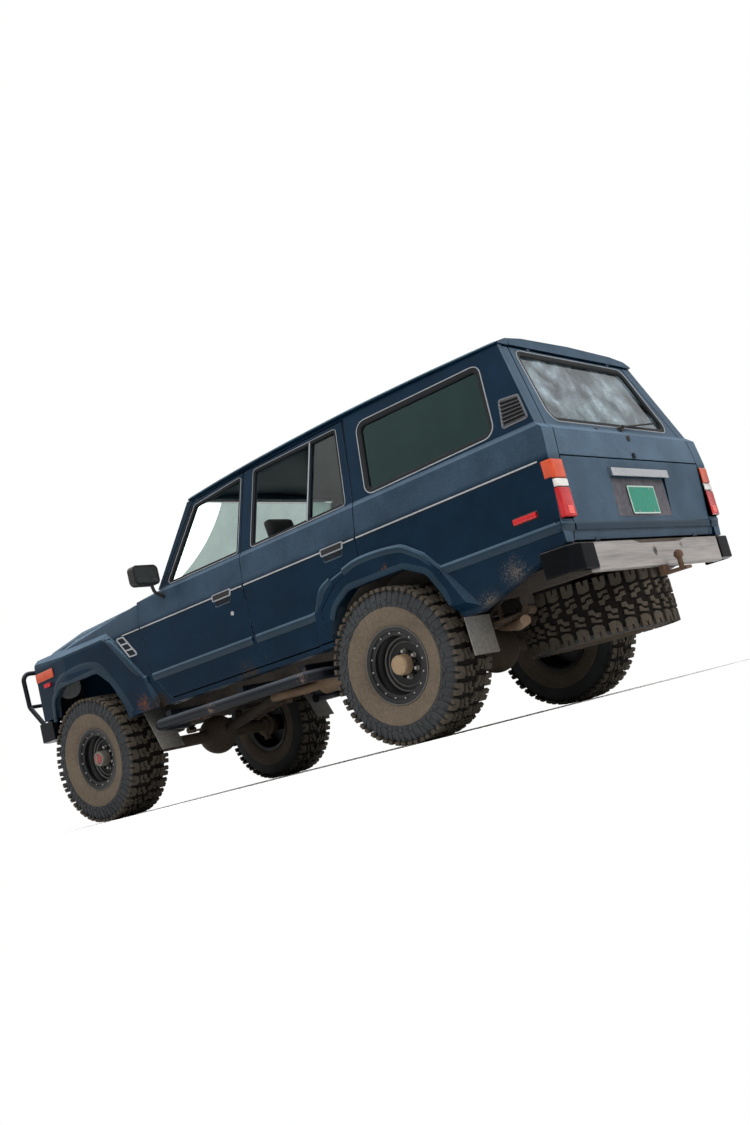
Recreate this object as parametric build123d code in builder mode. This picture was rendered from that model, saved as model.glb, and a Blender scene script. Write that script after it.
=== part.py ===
from build123d import *
import math
import os

os.makedirs("parts", exist_ok=True)

# Stance, in millimetres. The part's own frame has X forward, Y to the car's left and Z up,
# with its origin on the ground under the middle of the whole length.
WHEELBASE = 2730
FRONT_REACH = 835
REAR_REACH = 1300
OVERALL_LENGTH = REAR_REACH + WHEELBASE + FRONT_REACH
REAR_AXLE_X = REAR_REACH - OVERALL_LENGTH / 2
FRONT_AXLE_X = REAR_AXLE_X + WHEELBASE
BODY_LIFT = 140

# Running clearances
DOOR_GAP = 8
TOP_GAP = 12
LID_GAP = 8
SEAT_GAP = 0.3
SWING_CLEARANCE = 12

# Wheels
TYRE_RADIUS = 420
BEAD_RADIUS = 192
RIM_LIP_RADIUS = 207
HALF_TRACK = 805
DISC_OFFSET = 22
DISC_WALL = 9
HUB_RADIUS = 62
HUB_LENGTH = 84
SPINDLE_RADIUS = 30
STUD_CIRCLE = 139.7
STUD_COUNT = 6
STUD_RADIUS = 7
STUD_LENGTH = 26

# Body heights, from the ground of a standard car, and half widths of the outer skin there
SILL_Z = 482
DOOR_BOTTOM_Z = 518
CREASE_Z = 690
STRIP_Z = 1012
SHOULDER_Z = 1186
BELT_Z = 1212
RAIL_Z = 1738
BELT_Y = 836
RAIL_Y = 697
# wall section columns: height, half width of the outer skin, wall depth
WALL_SECTION = (
    (410, 863, 60),
    (SILL_Z, 872, 62),
    (CREASE_Z, 897, 78),
    (STRIP_Z, 886, 76),
    (SHOULDER_Z, 853, 52),
    (BELT_Z, BELT_Y, 36),
    (RAIL_Z, RAIL_Y, 34),
)
FLARE_Y = 912
FLARE_SLOPE = 40
POST_DEPTH = 34
COWL_Z = (1172, 1192)
TUB_RADIUS = 530
TUB_Y = (598, 808)

# Side view lines, as distance ahead of the rear axle and height
FLOOR_Z = 560
CARGO_FLOOR_Z = 700
SHEET = 20
TAIL_X = -1177
ROOF_CREST_X = 280
ROOF_CREST_Z = 1796
ROOF_BOW_RADIUS = 21600
# gap line columns: distance ahead of the rear axle, height
A_GAP = ((1890, DOOR_BOTTOM_Z), (2009, CREASE_Z), (2043, STRIP_Z), (2066, SHOULDER_Z))
B_GAP = ((958, DOOR_BOTTOM_Z), (1018, CREASE_Z), (1025, STRIP_Z), (1035, SHOULDER_Z), (976, 1706))
C_GAP = (
    (404, DOOR_BOTTOM_Z), (446, 640), (436, 700), (300, 806),
    (112, 868), (98, STRIP_Z), (88, SHOULDER_Z), (128, 1712),
)
FRONT_WINDOW = ((1736, 1222), (1452, 1652), (1006, 1682), (1060, 1222))
REAR_WINDOW_SLIDING = ((934, 1222), (883, 1684), (404, 1686), (460, 1222))
REAR_WINDOW_FIXED = ((440, 1222), (384, 1686), (190, 1682), (151, 1222))
QUARTER_WINDOW = ((-19, 1228), (19, 1646), (-832, 1632), (-885, 1240))
REAR_ARCH = (
    (414, 420), (404, 560), (330, 690), (210, 759), (-190, 759), (-330, 690), (-400, 560), (-450, 400),
)
REAR_FLARE = (
    (510, SILL_Z), (493, CREASE_Z), (400, 812), (110, 885),
    (-190, 868), (-325, 786), (-410, CREASE_Z), (-520, SILL_Z),
)
FRONT_ARCH = (
    (2290, 420), (2322, 556), (2420, 732), (2560, 845), (3030, 845), (3140, 770), (3172, 600), (3180, 420),
)
FRONT_FLARE = (
    (2010, SILL_Z), (2086, CREASE_Z), (2228, 851), (2344, 978), (2440, 1034),
    (3290, 1026), (3322, 960), (3310, 560), (3200, 520), (3100, SILL_Z),
)

# Places along the body are drawn ahead of the rear axle at a wheelbase of 2730, a front reach of 835
# and a rear reach of 1300. Where the sizes above differ, the body grows or shrinks in three stretches:
# between the wheel arches, and from each arch to its end of the car.
# stretch columns: where it starts, where it ends, how far what lies beyond it moves
STRETCHES = (
    (516, 1880, WHEELBASE - 2730),
    (3190, 3320, FRONT_REACH - 835),
    (-560, -830, 1300 - REAR_REACH),
)
# The side view plane stands on the standard car's ground. Its x runs forward and its y runs up,
# and what is drawn on it is extruded towards the car's right.
SIDE = Plane(origin=(0, 0, BODY_LIFT), x_dir=(1, 0, 0), z_dir=(0, -1, 0))


def along(x):
    """Place along the car of what is drawn x ahead of the rear axle."""
    growth = [move * min(max((x - start) / (end - start), 0), 1) for start, end, move in STRETCHES]
    return REAR_AXLE_X + x + sum(growth)


def distance(rear_x, front_x):
    """Real length between two drawn places."""
    return along(front_x) - along(rear_x)


def placed(points):
    """A drawn outline at its real place along the car."""
    return [(along(x), other) for x, other in points]


def side_view(points, y, corner=0):
    """A closed outline seen from the side, standing at half width y."""
    with BuildSketch(SIDE.offset(-y)) as drawn:
        with BuildLine():
            Polyline(*placed(points), close=True)
        make_face()
        if corner:
            fillet(drawn.vertices(), corner)
    return drawn.sketch


def station(x):
    """The plane across the car at x, looked at from the front."""
    return Plane(origin=(along(x), 0, BODY_LIFT), x_dir=(0, 1, 0), z_dir=(1, 0, 0))


def cross_section(points, x, corner=0):
    """A closed outline in half width and height, standing x ahead of the rear axle."""
    with BuildSketch(station(x)) as drawn:
        with BuildLine():
            Polyline(*points, close=True)
        make_face()
        if corner:
            fillet(drawn.vertices(), corner)
    return drawn.sketch


def plan_view(points, z, corner=0):
    """A closed outline seen from above, in distance ahead of the rear axle and half width."""
    with BuildSketch(Plane(origin=(0, 0, BODY_LIFT + z))) as drawn:
        with BuildLine():
            Polyline(*placed(points), close=True)
        make_face()
        if corner:
            fillet(drawn.vertices(), corner)
    return drawn.sketch


def shifted(line, step):
    """A gap line moved forward by a step."""
    return tuple((x + step, z) for x, z in line)


def wall_band(inset=0, depth=None):
    """The side wall's section from its skin to its inner face, or a band behind that face."""
    outer = [(y - inset * (wall + SWING_CLEARANCE), z) for z, y, wall in WALL_SECTION]
    behind = 0 if depth is None else SWING_CLEARANCE + depth
    inner = [(y - wall - behind, z) for z, y, wall in WALL_SECTION]
    return outer + inner[::-1]


def roof_height(x, depth):
    """Height of the bowed roof line at x, a depth below the roof's crest line."""
    radius = ROOF_BOW_RADIUS - depth
    return ROOF_CREST_Z - ROOF_BOW_RADIUS + math.sqrt(radius ** 2 - distance(ROOF_CREST_X, x) ** 2)


HINGE_LENGTH = 48
HINGE_RADIUS = 5
HINGE_PIN_RADIUS = 2.5
HINGE_DEPTH = 6


def hinge_place(gap, z):
    """Where a door hinge stands at height z: along its gap line, just below the skin, x towards the door."""
    (low_x, low_z), (high_x, high_z) = gap[1:3]
    low_y, high_y = (y - HINGE_DEPTH for height, y, wall in WALL_SECTION if height in (low_z, high_z))
    share = (z - low_z) / (high_z - low_z)
    run = distance(low_x, high_x)
    lean = high_y - low_y
    rise = high_z - low_z
    origin = (along(low_x) + run * share, low_y + lean * share, BODY_LIFT + z)
    return Plane(origin=origin, x_dir=(-rise, 0, run), z_dir=(run, lean, rise))


def hinge_space(place, radius):
    """The round space that a hinge needs in the edges beside it."""
    with BuildPart() as space:
        with Locations(place):
            Cylinder(radius, HINGE_LENGTH + 10)
    return space.part


def hinge_box(place, low, high, length, drop):
    """A plate of a hinge between two corners in the hinge's own x and y."""
    size = (high[0] - low[0], high[1] - low[1], length)
    middle = ((low[0] + high[0]) / 2, (low[1] + high[1]) / 2, drop)
    with BuildPart() as plate:
        with Locations(place):
            with Locations(middle):
                Box(*size)
    return plate.part


def hinge_fixed(place, low, high, radius=HINGE_RADIUS):
    """The half of a hinge that stays: its pin, two outer knuckles and their leaf."""
    third = HINGE_LENGTH / 3
    with BuildPart() as half:
        with Locations(place):
            Cylinder(HINGE_PIN_RADIUS, HINGE_LENGTH)
            with Locations((0, 0, third), (0, 0, -third)):
                Cylinder(radius, third)
        for drop in (third, -third):
            add(hinge_box(place, low, high, third, drop))
    return half.part


def hinge_moving(place, low, high, radius=HINGE_RADIUS):
    """The half of a hinge that turns: the middle knuckle and its tab, bored for the pin."""
    length = HINGE_LENGTH / 3 - 2 * SEAT_GAP
    with BuildPart() as half:
        with Locations(place):
            Cylinder(radius, length)
        add(hinge_box(place, low, high, length, 0))
        with Locations(place):
            Cylinder(HINGE_PIN_RADIUS + SEAT_GAP, length, mode=Mode.SUBTRACT)
    return half.part


WALL_FRONT_X = A_GAP[-1][0]
WALL_TOP_DEPTH = 58
A_PILLAR_FOOT_X = 1852
A_PILLAR_TOP_X = 1532
REAR_ROOF_X = -970

front_door_outline = (
    shifted(A_GAP, -DOOR_GAP / 2)
    + ((1806, BELT_Z - 8), (1472, 1683), (B_GAP[-1][0] + TOP_GAP, B_GAP[-1][1]))
    + shifted(B_GAP, DOOR_GAP / 2)[-2::-1]
)
rear_door_outline = (
    shifted(B_GAP, -DOOR_GAP / 2)
    + ((C_GAP[-1][0] + TOP_GAP, C_GAP[-1][1]),)
    + shifted(C_GAP, DOOR_GAP / 2)[-2::-1]
)
SILL_END_X = 1872
hole_bottom_z = DOOR_BOTTOM_Z - DOOR_GAP
door_hole_outlines = (
    (
        (SILL_END_X, SILL_Z - DOOR_GAP),
        (A_GAP[-1][0] + 40, SILL_Z - DOOR_GAP),
        (A_GAP[-1][0] + 40, SHOULDER_Z),
        (1806 + DOOR_GAP, BELT_Z),
        (1472 + DOOR_GAP, 1683 + DOOR_GAP),
        (B_GAP[-1][0], B_GAP[-1][1] + DOOR_GAP),
        (900, B_GAP[-1][1] + DOOR_GAP),
        (900, hole_bottom_z),
        (SILL_END_X, hole_bottom_z),
    ),
    (
        (B_GAP[-1][0], B_GAP[-1][1] + DOOR_GAP),
        (B_GAP[3][0], SHOULDER_Z),
        (B_GAP[1][0], hole_bottom_z),
        (C_GAP[0][0] - DOOR_GAP / 2, hole_bottom_z),
    )
    + shifted(C_GAP, -DOOR_GAP / 2)[1:-1]
    + ((C_GAP[-1][0] - DOOR_GAP / 2, C_GAP[-1][1] + DOOR_GAP),),
)

# Left side wall, in one piece, before it is parted along the door gaps
with BuildPart() as left_wall:
    extrude(cross_section(wall_band(), TAIL_X), amount=distance(TAIL_X, WALL_FRONT_X))
    extrude(side_view(REAR_FLARE, FLARE_Y), amount=FLARE_Y - 830, taper=-FLARE_SLOPE)
    extrude(side_view(REAR_ARCH, FLARE_Y + 10, 60), amount=FLARE_Y, mode=Mode.SUBTRACT)

# Doors: a skin and trim as one shell with its windows cut out
DOOR_HINGE_Z = (740, 960)
doors = (
    ("front", front_door_outline, (FRONT_WINDOW,)),
    ("rear", rear_door_outline, (REAR_WINDOW_SLIDING, REAR_WINDOW_FIXED)),
)
for end, outline, windows in doors:
    own_gap = A_GAP if end == "front" else B_GAP
    with BuildPart() as door_left:
        add(left_wall.part)
        extrude(side_view(outline, FLARE_Y + 10), amount=FLARE_Y, mode=Mode.INTERSECT)
        for window in windows:
            extrude(side_view(window, FLARE_Y, 18), amount=FLARE_Y, mode=Mode.SUBTRACT)
        for z in DOOR_HINGE_Z:
            place = hinge_place(own_gap, z)
            add(hinge_space(place, HINGE_RADIUS + 1), mode=Mode.SUBTRACT)
            add(hinge_moving(place, (0, -2), (16, 5)))
            if end == "front":
                # room for the rear door's hinges in this door's rear edge
                place = hinge_place(B_GAP, z)
                add(hinge_space(place, 2 * HINGE_RADIUS), mode=Mode.SUBTRACT)
                add(hinge_box(place, (-14, 0), (0, 110), HINGE_LENGTH + 10, 0), mode=Mode.SUBTRACT)
    door_left.part.label = f"door_{end}_left"
    export_step(door_left.part, f"parts/door_{end}_left.step")
    with BuildPart() as door_right:
        mirror(door_left.part, about=Plane.XZ)
    door_right.part.label = f"door_{end}_right"
    export_step(door_right.part, f"parts/door_{end}_right.step")

# Door glass, inside the wall's upper part, on its slope
GLASS_WALL = 5
GLASS_INSET = 14
glass_band = [
    (BELT_Y - GLASS_INSET, BELT_Z),
    (RAIL_Y - GLASS_INSET, RAIL_Z),
    (RAIL_Y - GLASS_INSET - GLASS_WALL, RAIL_Z),
    (BELT_Y - GLASS_INSET - GLASS_WALL, BELT_Z),
]
GLASS_FIT = 0.5
WINDOW_CORNER = 18
QUARTER_CORNER = 50
HATCH_CORNER = 60


def glass_pane(window, corner=WINDOW_CORNER):
    """A flat pane that fills one side window with a small fit all round."""
    with BuildPart() as pane:
        extrude(cross_section(glass_band, TAIL_X), amount=distance(TAIL_X, WALL_FRONT_X))
        with BuildSketch(SIDE.offset(-FLARE_Y)) as drawn:
            with BuildLine():
                Polyline(*placed(window), close=True)
            make_face()
            fillet(drawn.vertices(), corner)
            offset(amount=-GLASS_FIT)
        extrude(amount=FLARE_Y, mode=Mode.INTERSECT)
    return pane.part


with BuildPart() as door_glass_rear_left:
    add(glass_pane(REAR_WINDOW_FIXED))
door_glass_rear_left.part.label = "door_glass_rear_left"
export_step(door_glass_rear_left.part, "parts/door_glass_rear_left.step")

with BuildPart() as door_glass_front_right:
    mirror(glass_pane(FRONT_WINDOW), about=Plane.XZ)
door_glass_front_right.part.label = "door_glass_front_right"
export_step(door_glass_front_right.part, "parts/door_glass_front_right.step")

with BuildPart() as door_glass_rear_right:
    mirror(glass_pane(REAR_WINDOW_SLIDING), about=Plane.XZ)
    mirror(glass_pane(REAR_WINDOW_FIXED), about=Plane.XZ)
door_glass_rear_right.part.label = "door_glass_rear_right"
export_step(door_glass_rear_right.part, "parts/door_glass_rear_right.step")

with BuildPart() as quarter_glass:
    add(glass_pane(QUARTER_WINDOW, QUARTER_CORNER))
    mirror(glass_pane(QUARTER_WINDOW, QUARTER_CORNER), about=Plane.XZ)
quarter_glass.part.label = "quarter_glass"
export_step(quarter_glass.part, "parts/quarter_glass.step")

# Rear opening: the hatch above and the tailgate below share one profile seen from the side
SPLIT_Z = 1027
GATE_BOTTOM_Z = 612
GATE_HALF_WIDTH = 772
HATCH_TOP_HALF_WIDTH = 606
HATCH_SHOULDER_HALF_WIDTH = 738
HATCH_TOP_Z = 1692
TAIL_DEPTH = 46
tail_profile = (
    (-1128, GATE_BOTTOM_Z), (-1152, CREASE_Z), (TAIL_X, SPLIT_Z),
    (-1168, 1172), (-1130, 1206), (-972, HATCH_TOP_Z),
)
hatch_outline = (
    (-GATE_HALF_WIDTH, SPLIT_Z + LID_GAP / 2),
    (-HATCH_SHOULDER_HALF_WIDTH, SHOULDER_Z + 10),
    (-HATCH_TOP_HALF_WIDTH, HATCH_TOP_Z),
    (HATCH_TOP_HALF_WIDTH, HATCH_TOP_Z),
    (HATCH_SHOULDER_HALF_WIDTH, SHOULDER_Z + 10),
    (GATE_HALF_WIDTH, SPLIT_Z + LID_GAP / 2),
)
tailgate_outline = (
    (-GATE_HALF_WIDTH, GATE_BOTTOM_Z),
    (-GATE_HALF_WIDTH, SPLIT_Z - LID_GAP / 2),
    (GATE_HALF_WIDTH, SPLIT_Z - LID_GAP / 2),
    (GATE_HALF_WIDTH, GATE_BOTTOM_Z),
)
tail_hole_outline = (
    (0, GATE_BOTTOM_Z - LID_GAP),
    (0, HATCH_TOP_Z + LID_GAP),
    (HATCH_TOP_HALF_WIDTH + LID_GAP, HATCH_TOP_Z + LID_GAP),
    (HATCH_SHOULDER_HALF_WIDTH + LID_GAP, SHOULDER_Z + 10),
    (GATE_HALF_WIDTH + LID_GAP, SPLIT_Z),
    (GATE_HALF_WIDTH + LID_GAP, GATE_BOTTOM_Z - LID_GAP),
)
tail_band = tail_profile + tuple((x + TAIL_DEPTH, z) for x, z in tail_profile[::-1])
HATCH_WINDOW = ((-645, 1240), (-566, 1668), (566, 1668), (645, 1240))
REAR_SPAN = 330

HATCH_HINGE = (-976, 1696.8)
GATE_HINGE = (-1132, 608)
SMALL_HINGE_RADIUS = 4
hatch_hinges = [
    Plane(origin=(along(HATCH_HINGE[0]), y, BODY_LIFT + HATCH_HINGE[1]), x_dir=(0, 0, -1), z_dir=(0, -1, 0))
    for y in (-430, 430)
]
gate_hinges = [
    Plane(origin=(along(GATE_HINGE[0]), y, BODY_LIFT + GATE_HINGE[1]), x_dir=(0, 0, 1), z_dir=(0, 1, 0))
    for y in (-560, 560)
]

with BuildPart() as hatch:
    extrude(side_view(tail_band, GATE_HALF_WIDTH), amount=2 * GATE_HALF_WIDTH)
    extrude(cross_section(hatch_outline, TAIL_X - 10), amount=REAR_SPAN, mode=Mode.INTERSECT)
    extrude(cross_section(HATCH_WINDOW, TAIL_X - 10, HATCH_CORNER), amount=REAR_SPAN, mode=Mode.SUBTRACT)
    for place in hatch_hinges:
        add(hinge_space(place, SMALL_HINGE_RADIUS + 1), mode=Mode.SUBTRACT)
        add(hinge_moving(place, (0, -2), (16, 7), SMALL_HINGE_RADIUS))
hatch.part.label = "hatch"
export_step(hatch.part, "parts/hatch.step")

HATCH_GLASS_INSET = 16
hatch_glass_band = [(x + HATCH_GLASS_INSET, z) for x, z in tail_profile[-2:]]
hatch_glass_band += [(x + GLASS_WALL, z) for x, z in hatch_glass_band[::-1]]
with BuildPart() as hatch_glass:
    extrude(side_view(hatch_glass_band, GATE_HALF_WIDTH), amount=2 * GATE_HALF_WIDTH)
    with BuildSketch(station(TAIL_X - 10)) as drawn:
        with BuildLine():
            Polyline(*HATCH_WINDOW, close=True)
        make_face()
        fillet(drawn.vertices(), HATCH_CORNER)
        offset(amount=-GLASS_FIT)
    extrude(amount=REAR_SPAN, mode=Mode.INTERSECT)
hatch_glass.part.label = "hatch_glass"
export_step(hatch_glass.part, "parts/hatch_glass.step")

# Tailgate with the recess for the plate and the bar-shaped handle above it
PLATE_RECESS = ((-310, 712), (-310, 931), (310, 931), (310, 712))
RECESS_DEPTH = 12
HANDLE_HALF_WIDTH = 322
HANDLE_Z = (921, 978)
HANDLE_PROUD = 16
with BuildPart() as tailgate:
    extrude(side_view(tail_band, GATE_HALF_WIDTH), amount=2 * GATE_HALF_WIDTH)
    extrude(cross_section(tailgate_outline, TAIL_X - 10), amount=REAR_SPAN, mode=Mode.INTERSECT)
    extrude(cross_section(PLATE_RECESS, TAIL_X - 10), amount=20 + RECESS_DEPTH, mode=Mode.SUBTRACT)
    for place in gate_hinges:
        add(hinge_space(place, SMALL_HINGE_RADIUS + 1), mode=Mode.SUBTRACT)
        add(hinge_moving(place, (0, -2), (16, 7), SMALL_HINGE_RADIUS))
tailgate.part.label = "tailgate"
export_step(tailgate.part, "parts/tailgate.step")

with BuildPart() as tailgate_handle:
    handle_profile = (
        (TAIL_X - HANDLE_PROUD, HANDLE_Z[0] + 6),
        (TAIL_X - HANDLE_PROUD, HANDLE_Z[1] - 8),
        (TAIL_X + 3, HANDLE_Z[1]),
        (TAIL_X + 7, HANDLE_Z[0] + 12),
    )
    extrude(side_view(handle_profile, HANDLE_HALF_WIDTH), amount=2 * HANDLE_HALF_WIDTH)
    add(tailgate.part, mode=Mode.SUBTRACT)
tailgate_handle.part.label = "tailgate_handle"
export_step(tailgate_handle.part, "parts/tailgate_handle.step")

# Tail lamps, let into the rear corners and wrapped round them
LAMP_Z = (712, 1005)
LAMP_Y = (GATE_HALF_WIDTH + 10, 889)
LAMP_X = (-1190, -1126)
with BuildPart() as tail_lamps:
    lamp_round = (LAMP_Y[1] - LAMP_Y[0]) / 5
    lamp_plan = (
        (LAMP_X[0], LAMP_Y[0]),
        (LAMP_X[0], LAMP_Y[1] - lamp_round),
        (LAMP_X[0] + 16, LAMP_Y[1]),
        (LAMP_X[1], LAMP_Y[1]),
        (LAMP_X[1], LAMP_Y[0]),
    )
    lamp = extrude(plan_view(lamp_plan, LAMP_Z[0]), amount=LAMP_Z[1] - LAMP_Z[0])
    mirror(lamp, about=Plane.XZ)
tail_lamps.part.label = "tail_lamps"
export_step(tail_lamps.part, "parts/tail_lamps.step")


# Body sides: sills, pillars, rail above the doors and quarter panels
QUARTER_BOTTOM = ((-450, 418), (-560, 418), (-1000, 556), (-1150, 600))
POST_TOP_Z = COWL_Z[0] - SEAT_GAP
a_post_face = shifted(A_GAP, SEAT_GAP)
A_POST = (
    ((1920, SILL_Z), (1920, CREASE_Z), (1950, STRIP_Z), (1962, POST_TOP_Z), (2064, POST_TOP_Z))
    + a_post_face[2:0:-1]
    + ((1996, SILL_Z),)
)
RAIL_FOOT = ((1466, 1700), (976, 1722), (128, 1728), (-60, 1700))
with BuildPart() as corner_mask:
    corner_reach = [(0, WALL_SECTION[0][0])] + [(y - 1, z) for z, y, wall in WALL_SECTION] + [(0, RAIL_Z)]
    extrude(cross_section(corner_reach, TAIL_X - 10), amount=REAR_SPAN)
with BuildPart() as corner_plate:
    extrude(side_view(tail_band, 890), amount=300)
    add(corner_mask.part, mode=Mode.INTERSECT)


def body_silhouette():
    """The body side's outline without the doors' share of the front, standing outside the skin."""
    with BuildSketch(SIDE.offset(-FLARE_Y - 20)) as drawn:
        with BuildLine():
            roof_places = (A_PILLAR_TOP_X, ROOF_CREST_X, REAR_ROOF_X)
            roof_line = [(x, roof_height(x, WALL_TOP_DEPTH)) for x in roof_places]
            roof_edge = ThreePointArc(*placed(roof_line))
            lower_line = (
                *tail_profile[-2:0:-1],
                *QUARTER_BOTTOM[::-1],
                *REAR_ARCH[-2:-4:-1],
                (0, CREASE_Z),
                (404, SILL_Z),
                (WALL_FRONT_X, SILL_Z),
                (WALL_FRONT_X, POST_TOP_Z),
                (A_PILLAR_FOOT_X, BELT_Z - 20),
            )
            Polyline(roof_edge @ 1, *placed(lower_line), roof_edge @ 0)
        make_face()
    return drawn.sketch


B_POST = shifted(B_GAP, -44)[:-1] + ((932, 1730), (1000, 1730)) + shifted(B_GAP, 26)[:-1][::-1]
B_POST = ((900, SILL_Z), (900, SILL_Z + 40)) + B_POST[1:-1] + ((1000, SILL_Z + 40), (1000, SILL_Z))
C_POST = (
    ((510, SILL_Z), (516, 660), (330, 850), (142, 900))
    + ((128, STRIP_Z), (118, SHOULDER_Z), (158, 1730), (98, 1730))
    + shifted(C_GAP, -30)[-2:0:-1]
    + ((374, SILL_Z),)
)
C_EDGE = shifted(C_GAP, -DOOR_GAP / 2)[:-1] + ((124, 1730), (84, 1730)) + shifted(C_GAP, -44)[:-1][::-1]
RAIL_STRIP = RAIL_FOOT + ((-60, 1800), (1466, 1800))
RAIL_INNER_STRIP = ((1466, 1664), (976, 1676), (128, 1682), (-60, 1664), (-60, 1800), (1466, 1800))
SILL_STRIP = ((420, SILL_Z), (420, hole_bottom_z), (SILL_END_X, hole_bottom_z), (SILL_END_X, SILL_Z))
SILL_INNER_STRIP = ((420, SILL_Z), (420, FLOOR_Z), (1996, FLOOR_Z), (1996, SILL_Z))
# inner frame columns: outline, whether it stands behind the wall (1) or in it (0)
INNER_FRAME = (
    (RAIL_STRIP, 0),
    (RAIL_INNER_STRIP, 1),
    (SILL_STRIP, 0),
    (SILL_INNER_STRIP, 1),
    (A_POST, 1),
    (B_POST, 1),
    (C_POST, 1),
    (C_EDGE, 0),
)

with BuildPart() as left_side:
    add(left_wall.part)
    add(corner_plate.part)
    extrude(body_silhouette(), amount=FLARE_Y + 20, mode=Mode.INTERSECT)
    for outline in door_hole_outlines:
        extrude(side_view(outline, FLARE_Y + 10), amount=FLARE_Y, mode=Mode.SUBTRACT)
    extrude(side_view(QUARTER_WINDOW, FLARE_Y, QUARTER_CORNER), amount=FLARE_Y, mode=Mode.SUBTRACT)
    extrude(cross_section(tail_hole_outline, TAIL_X - 10), amount=REAR_SPAN, mode=Mode.SUBTRACT)
    # inner posts, sill box and roof rail behind the doors
    for strip, behind in INNER_FRAME:
        with BuildPart(mode=Mode.PRIVATE) as inner_frame:
            extrude(cross_section(wall_band(behind, POST_DEPTH), -60), amount=distance(-60, WALL_FRONT_X))
            extrude(side_view(strip, FLARE_Y), amount=FLARE_Y, mode=Mode.INTERSECT)
            extrude(body_silhouette(), amount=FLARE_Y + 20, mode=Mode.INTERSECT)
        add(inner_frame.part)
    extrude(side_view(REAR_ARCH, FLARE_Y + 10, 60), amount=FLARE_Y, mode=Mode.SUBTRACT)
    with BuildSketch(Plane(origin=(REAR_AXLE_X, TUB_Y[1] + SEAT_GAP, TYRE_RADIUS), z_dir=(0, -1, 0))):
        Circle(TUB_RADIUS + SEAT_GAP)
    extrude(amount=TUB_Y[1] - TUB_Y[0], mode=Mode.SUBTRACT)
    for z in DOOR_HINGE_Z:
        for gap in (A_GAP, B_GAP):
            add(hinge_space(hinge_place(gap, z), HINGE_RADIUS + 1), mode=Mode.SUBTRACT)
    lamp_seat = offset(lamp.solids(), amount=SEAT_GAP, mode=Mode.PRIVATE)
    add(lamp_seat, mode=Mode.SUBTRACT)
with BuildPart() as body_sides:
    add(left_side.part)
    mirror(left_side.part, about=Plane.XZ)
body_sides.part.label = "body_sides"
export_step(body_sides.part, "parts/body_sides.step")

# Roof: one section with its gutters, bowed along the car about a far axis below
ROOF_FRONT_X = 1512
ROOF_REAR_X = -984
ROOF_HALF_SECTION = (
    (0, 0),
    (480, -9),
    (640, -24),
    (690, -40),
    (716, -48),
    (716, -WALL_TOP_DEPTH + SEAT_GAP),
    (612, -WALL_TOP_DEPTH + SEAT_GAP),
    (590, -44),
    (0, -26),
)
HEADER_HALF_SECTION = ((0, 13), (480, 20), (612, 35), (612, 57))
bow_centre = (along(ROOF_CREST_X), 0, BODY_LIFT + ROOF_CREST_Z - ROOF_BOW_RADIUS)
roof_section = [(y, ROOF_CREST_Z + z) for y, z in ROOF_HALF_SECTION]
roof_section += [(-y, z) for y, z in roof_section[-2:0:-1]]
with BuildPart() as roof_panel:
    for end_x, turn in ((ROOF_FRONT_X, 1), (ROOF_REAR_X, -1)):
        angle = math.degrees(math.asin(abs(distance(ROOF_CREST_X, end_x)) / ROOF_BOW_RADIUS))
        bow_axis = Axis(bow_centre, (0, turn, 0))
        revolve(cross_section(roof_section, ROOF_CREST_X), bow_axis, revolution_arc=angle)
    for low_x, high_x in ((ROOF_REAR_X, ROOF_REAR_X + 50), (ROOF_FRONT_X - 40, ROOF_FRONT_X + 28)):
        header = [(y, roof_height(low_x, 0) - fall) for y, fall in HEADER_HALF_SECTION]
        header += [(-y, z) for y, z in header[::-1]]
        extrude(cross_section(header, low_x), amount=distance(low_x, high_x))
roof_panel.part.label = "roof_panel"
export_step(roof_panel.part, "parts/roof_panel.step")

# Front wings: skins lofted over three stations, a raised bulge over the wheel and an inner apron
# station columns: distance ahead of the rear axle, narrowing, strip, shoulder and seam heights
WING_STATIONS = (
    (1880, 0, STRIP_Z, 1178, 1190),
    (2095, 0, STRIP_Z, 1172, 1186),
    (2850, 16, 1000, 1096, 1138),
    (3322, 42, 985, 1030, 1052),
)
WING_WALL = 26
WING_SEAM_Y = 796
APRON_X = (2043, 3322)
APRON_Y = 478
APRON_WALL = 10
APRON_TOP_Z = 1000


def wing_section(x, narrowing, strip_z, shoulder_z, seam_z):
    outer = [
        (872 - narrowing, SILL_Z),
        (897 - narrowing, CREASE_Z),
        (886 - narrowing, strip_z),
        (853 - narrowing / 4, shoulder_z),
        (WING_SEAM_Y, seam_z),
    ]
    inner = [(y - WING_WALL, z) for y, z in outer[:3]]
    inner += [(outer[3][0] - WING_WALL, shoulder_z - 22), (WING_SEAM_Y, seam_z - 22)]
    return cross_section(outer + inner[::-1], x)


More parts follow.
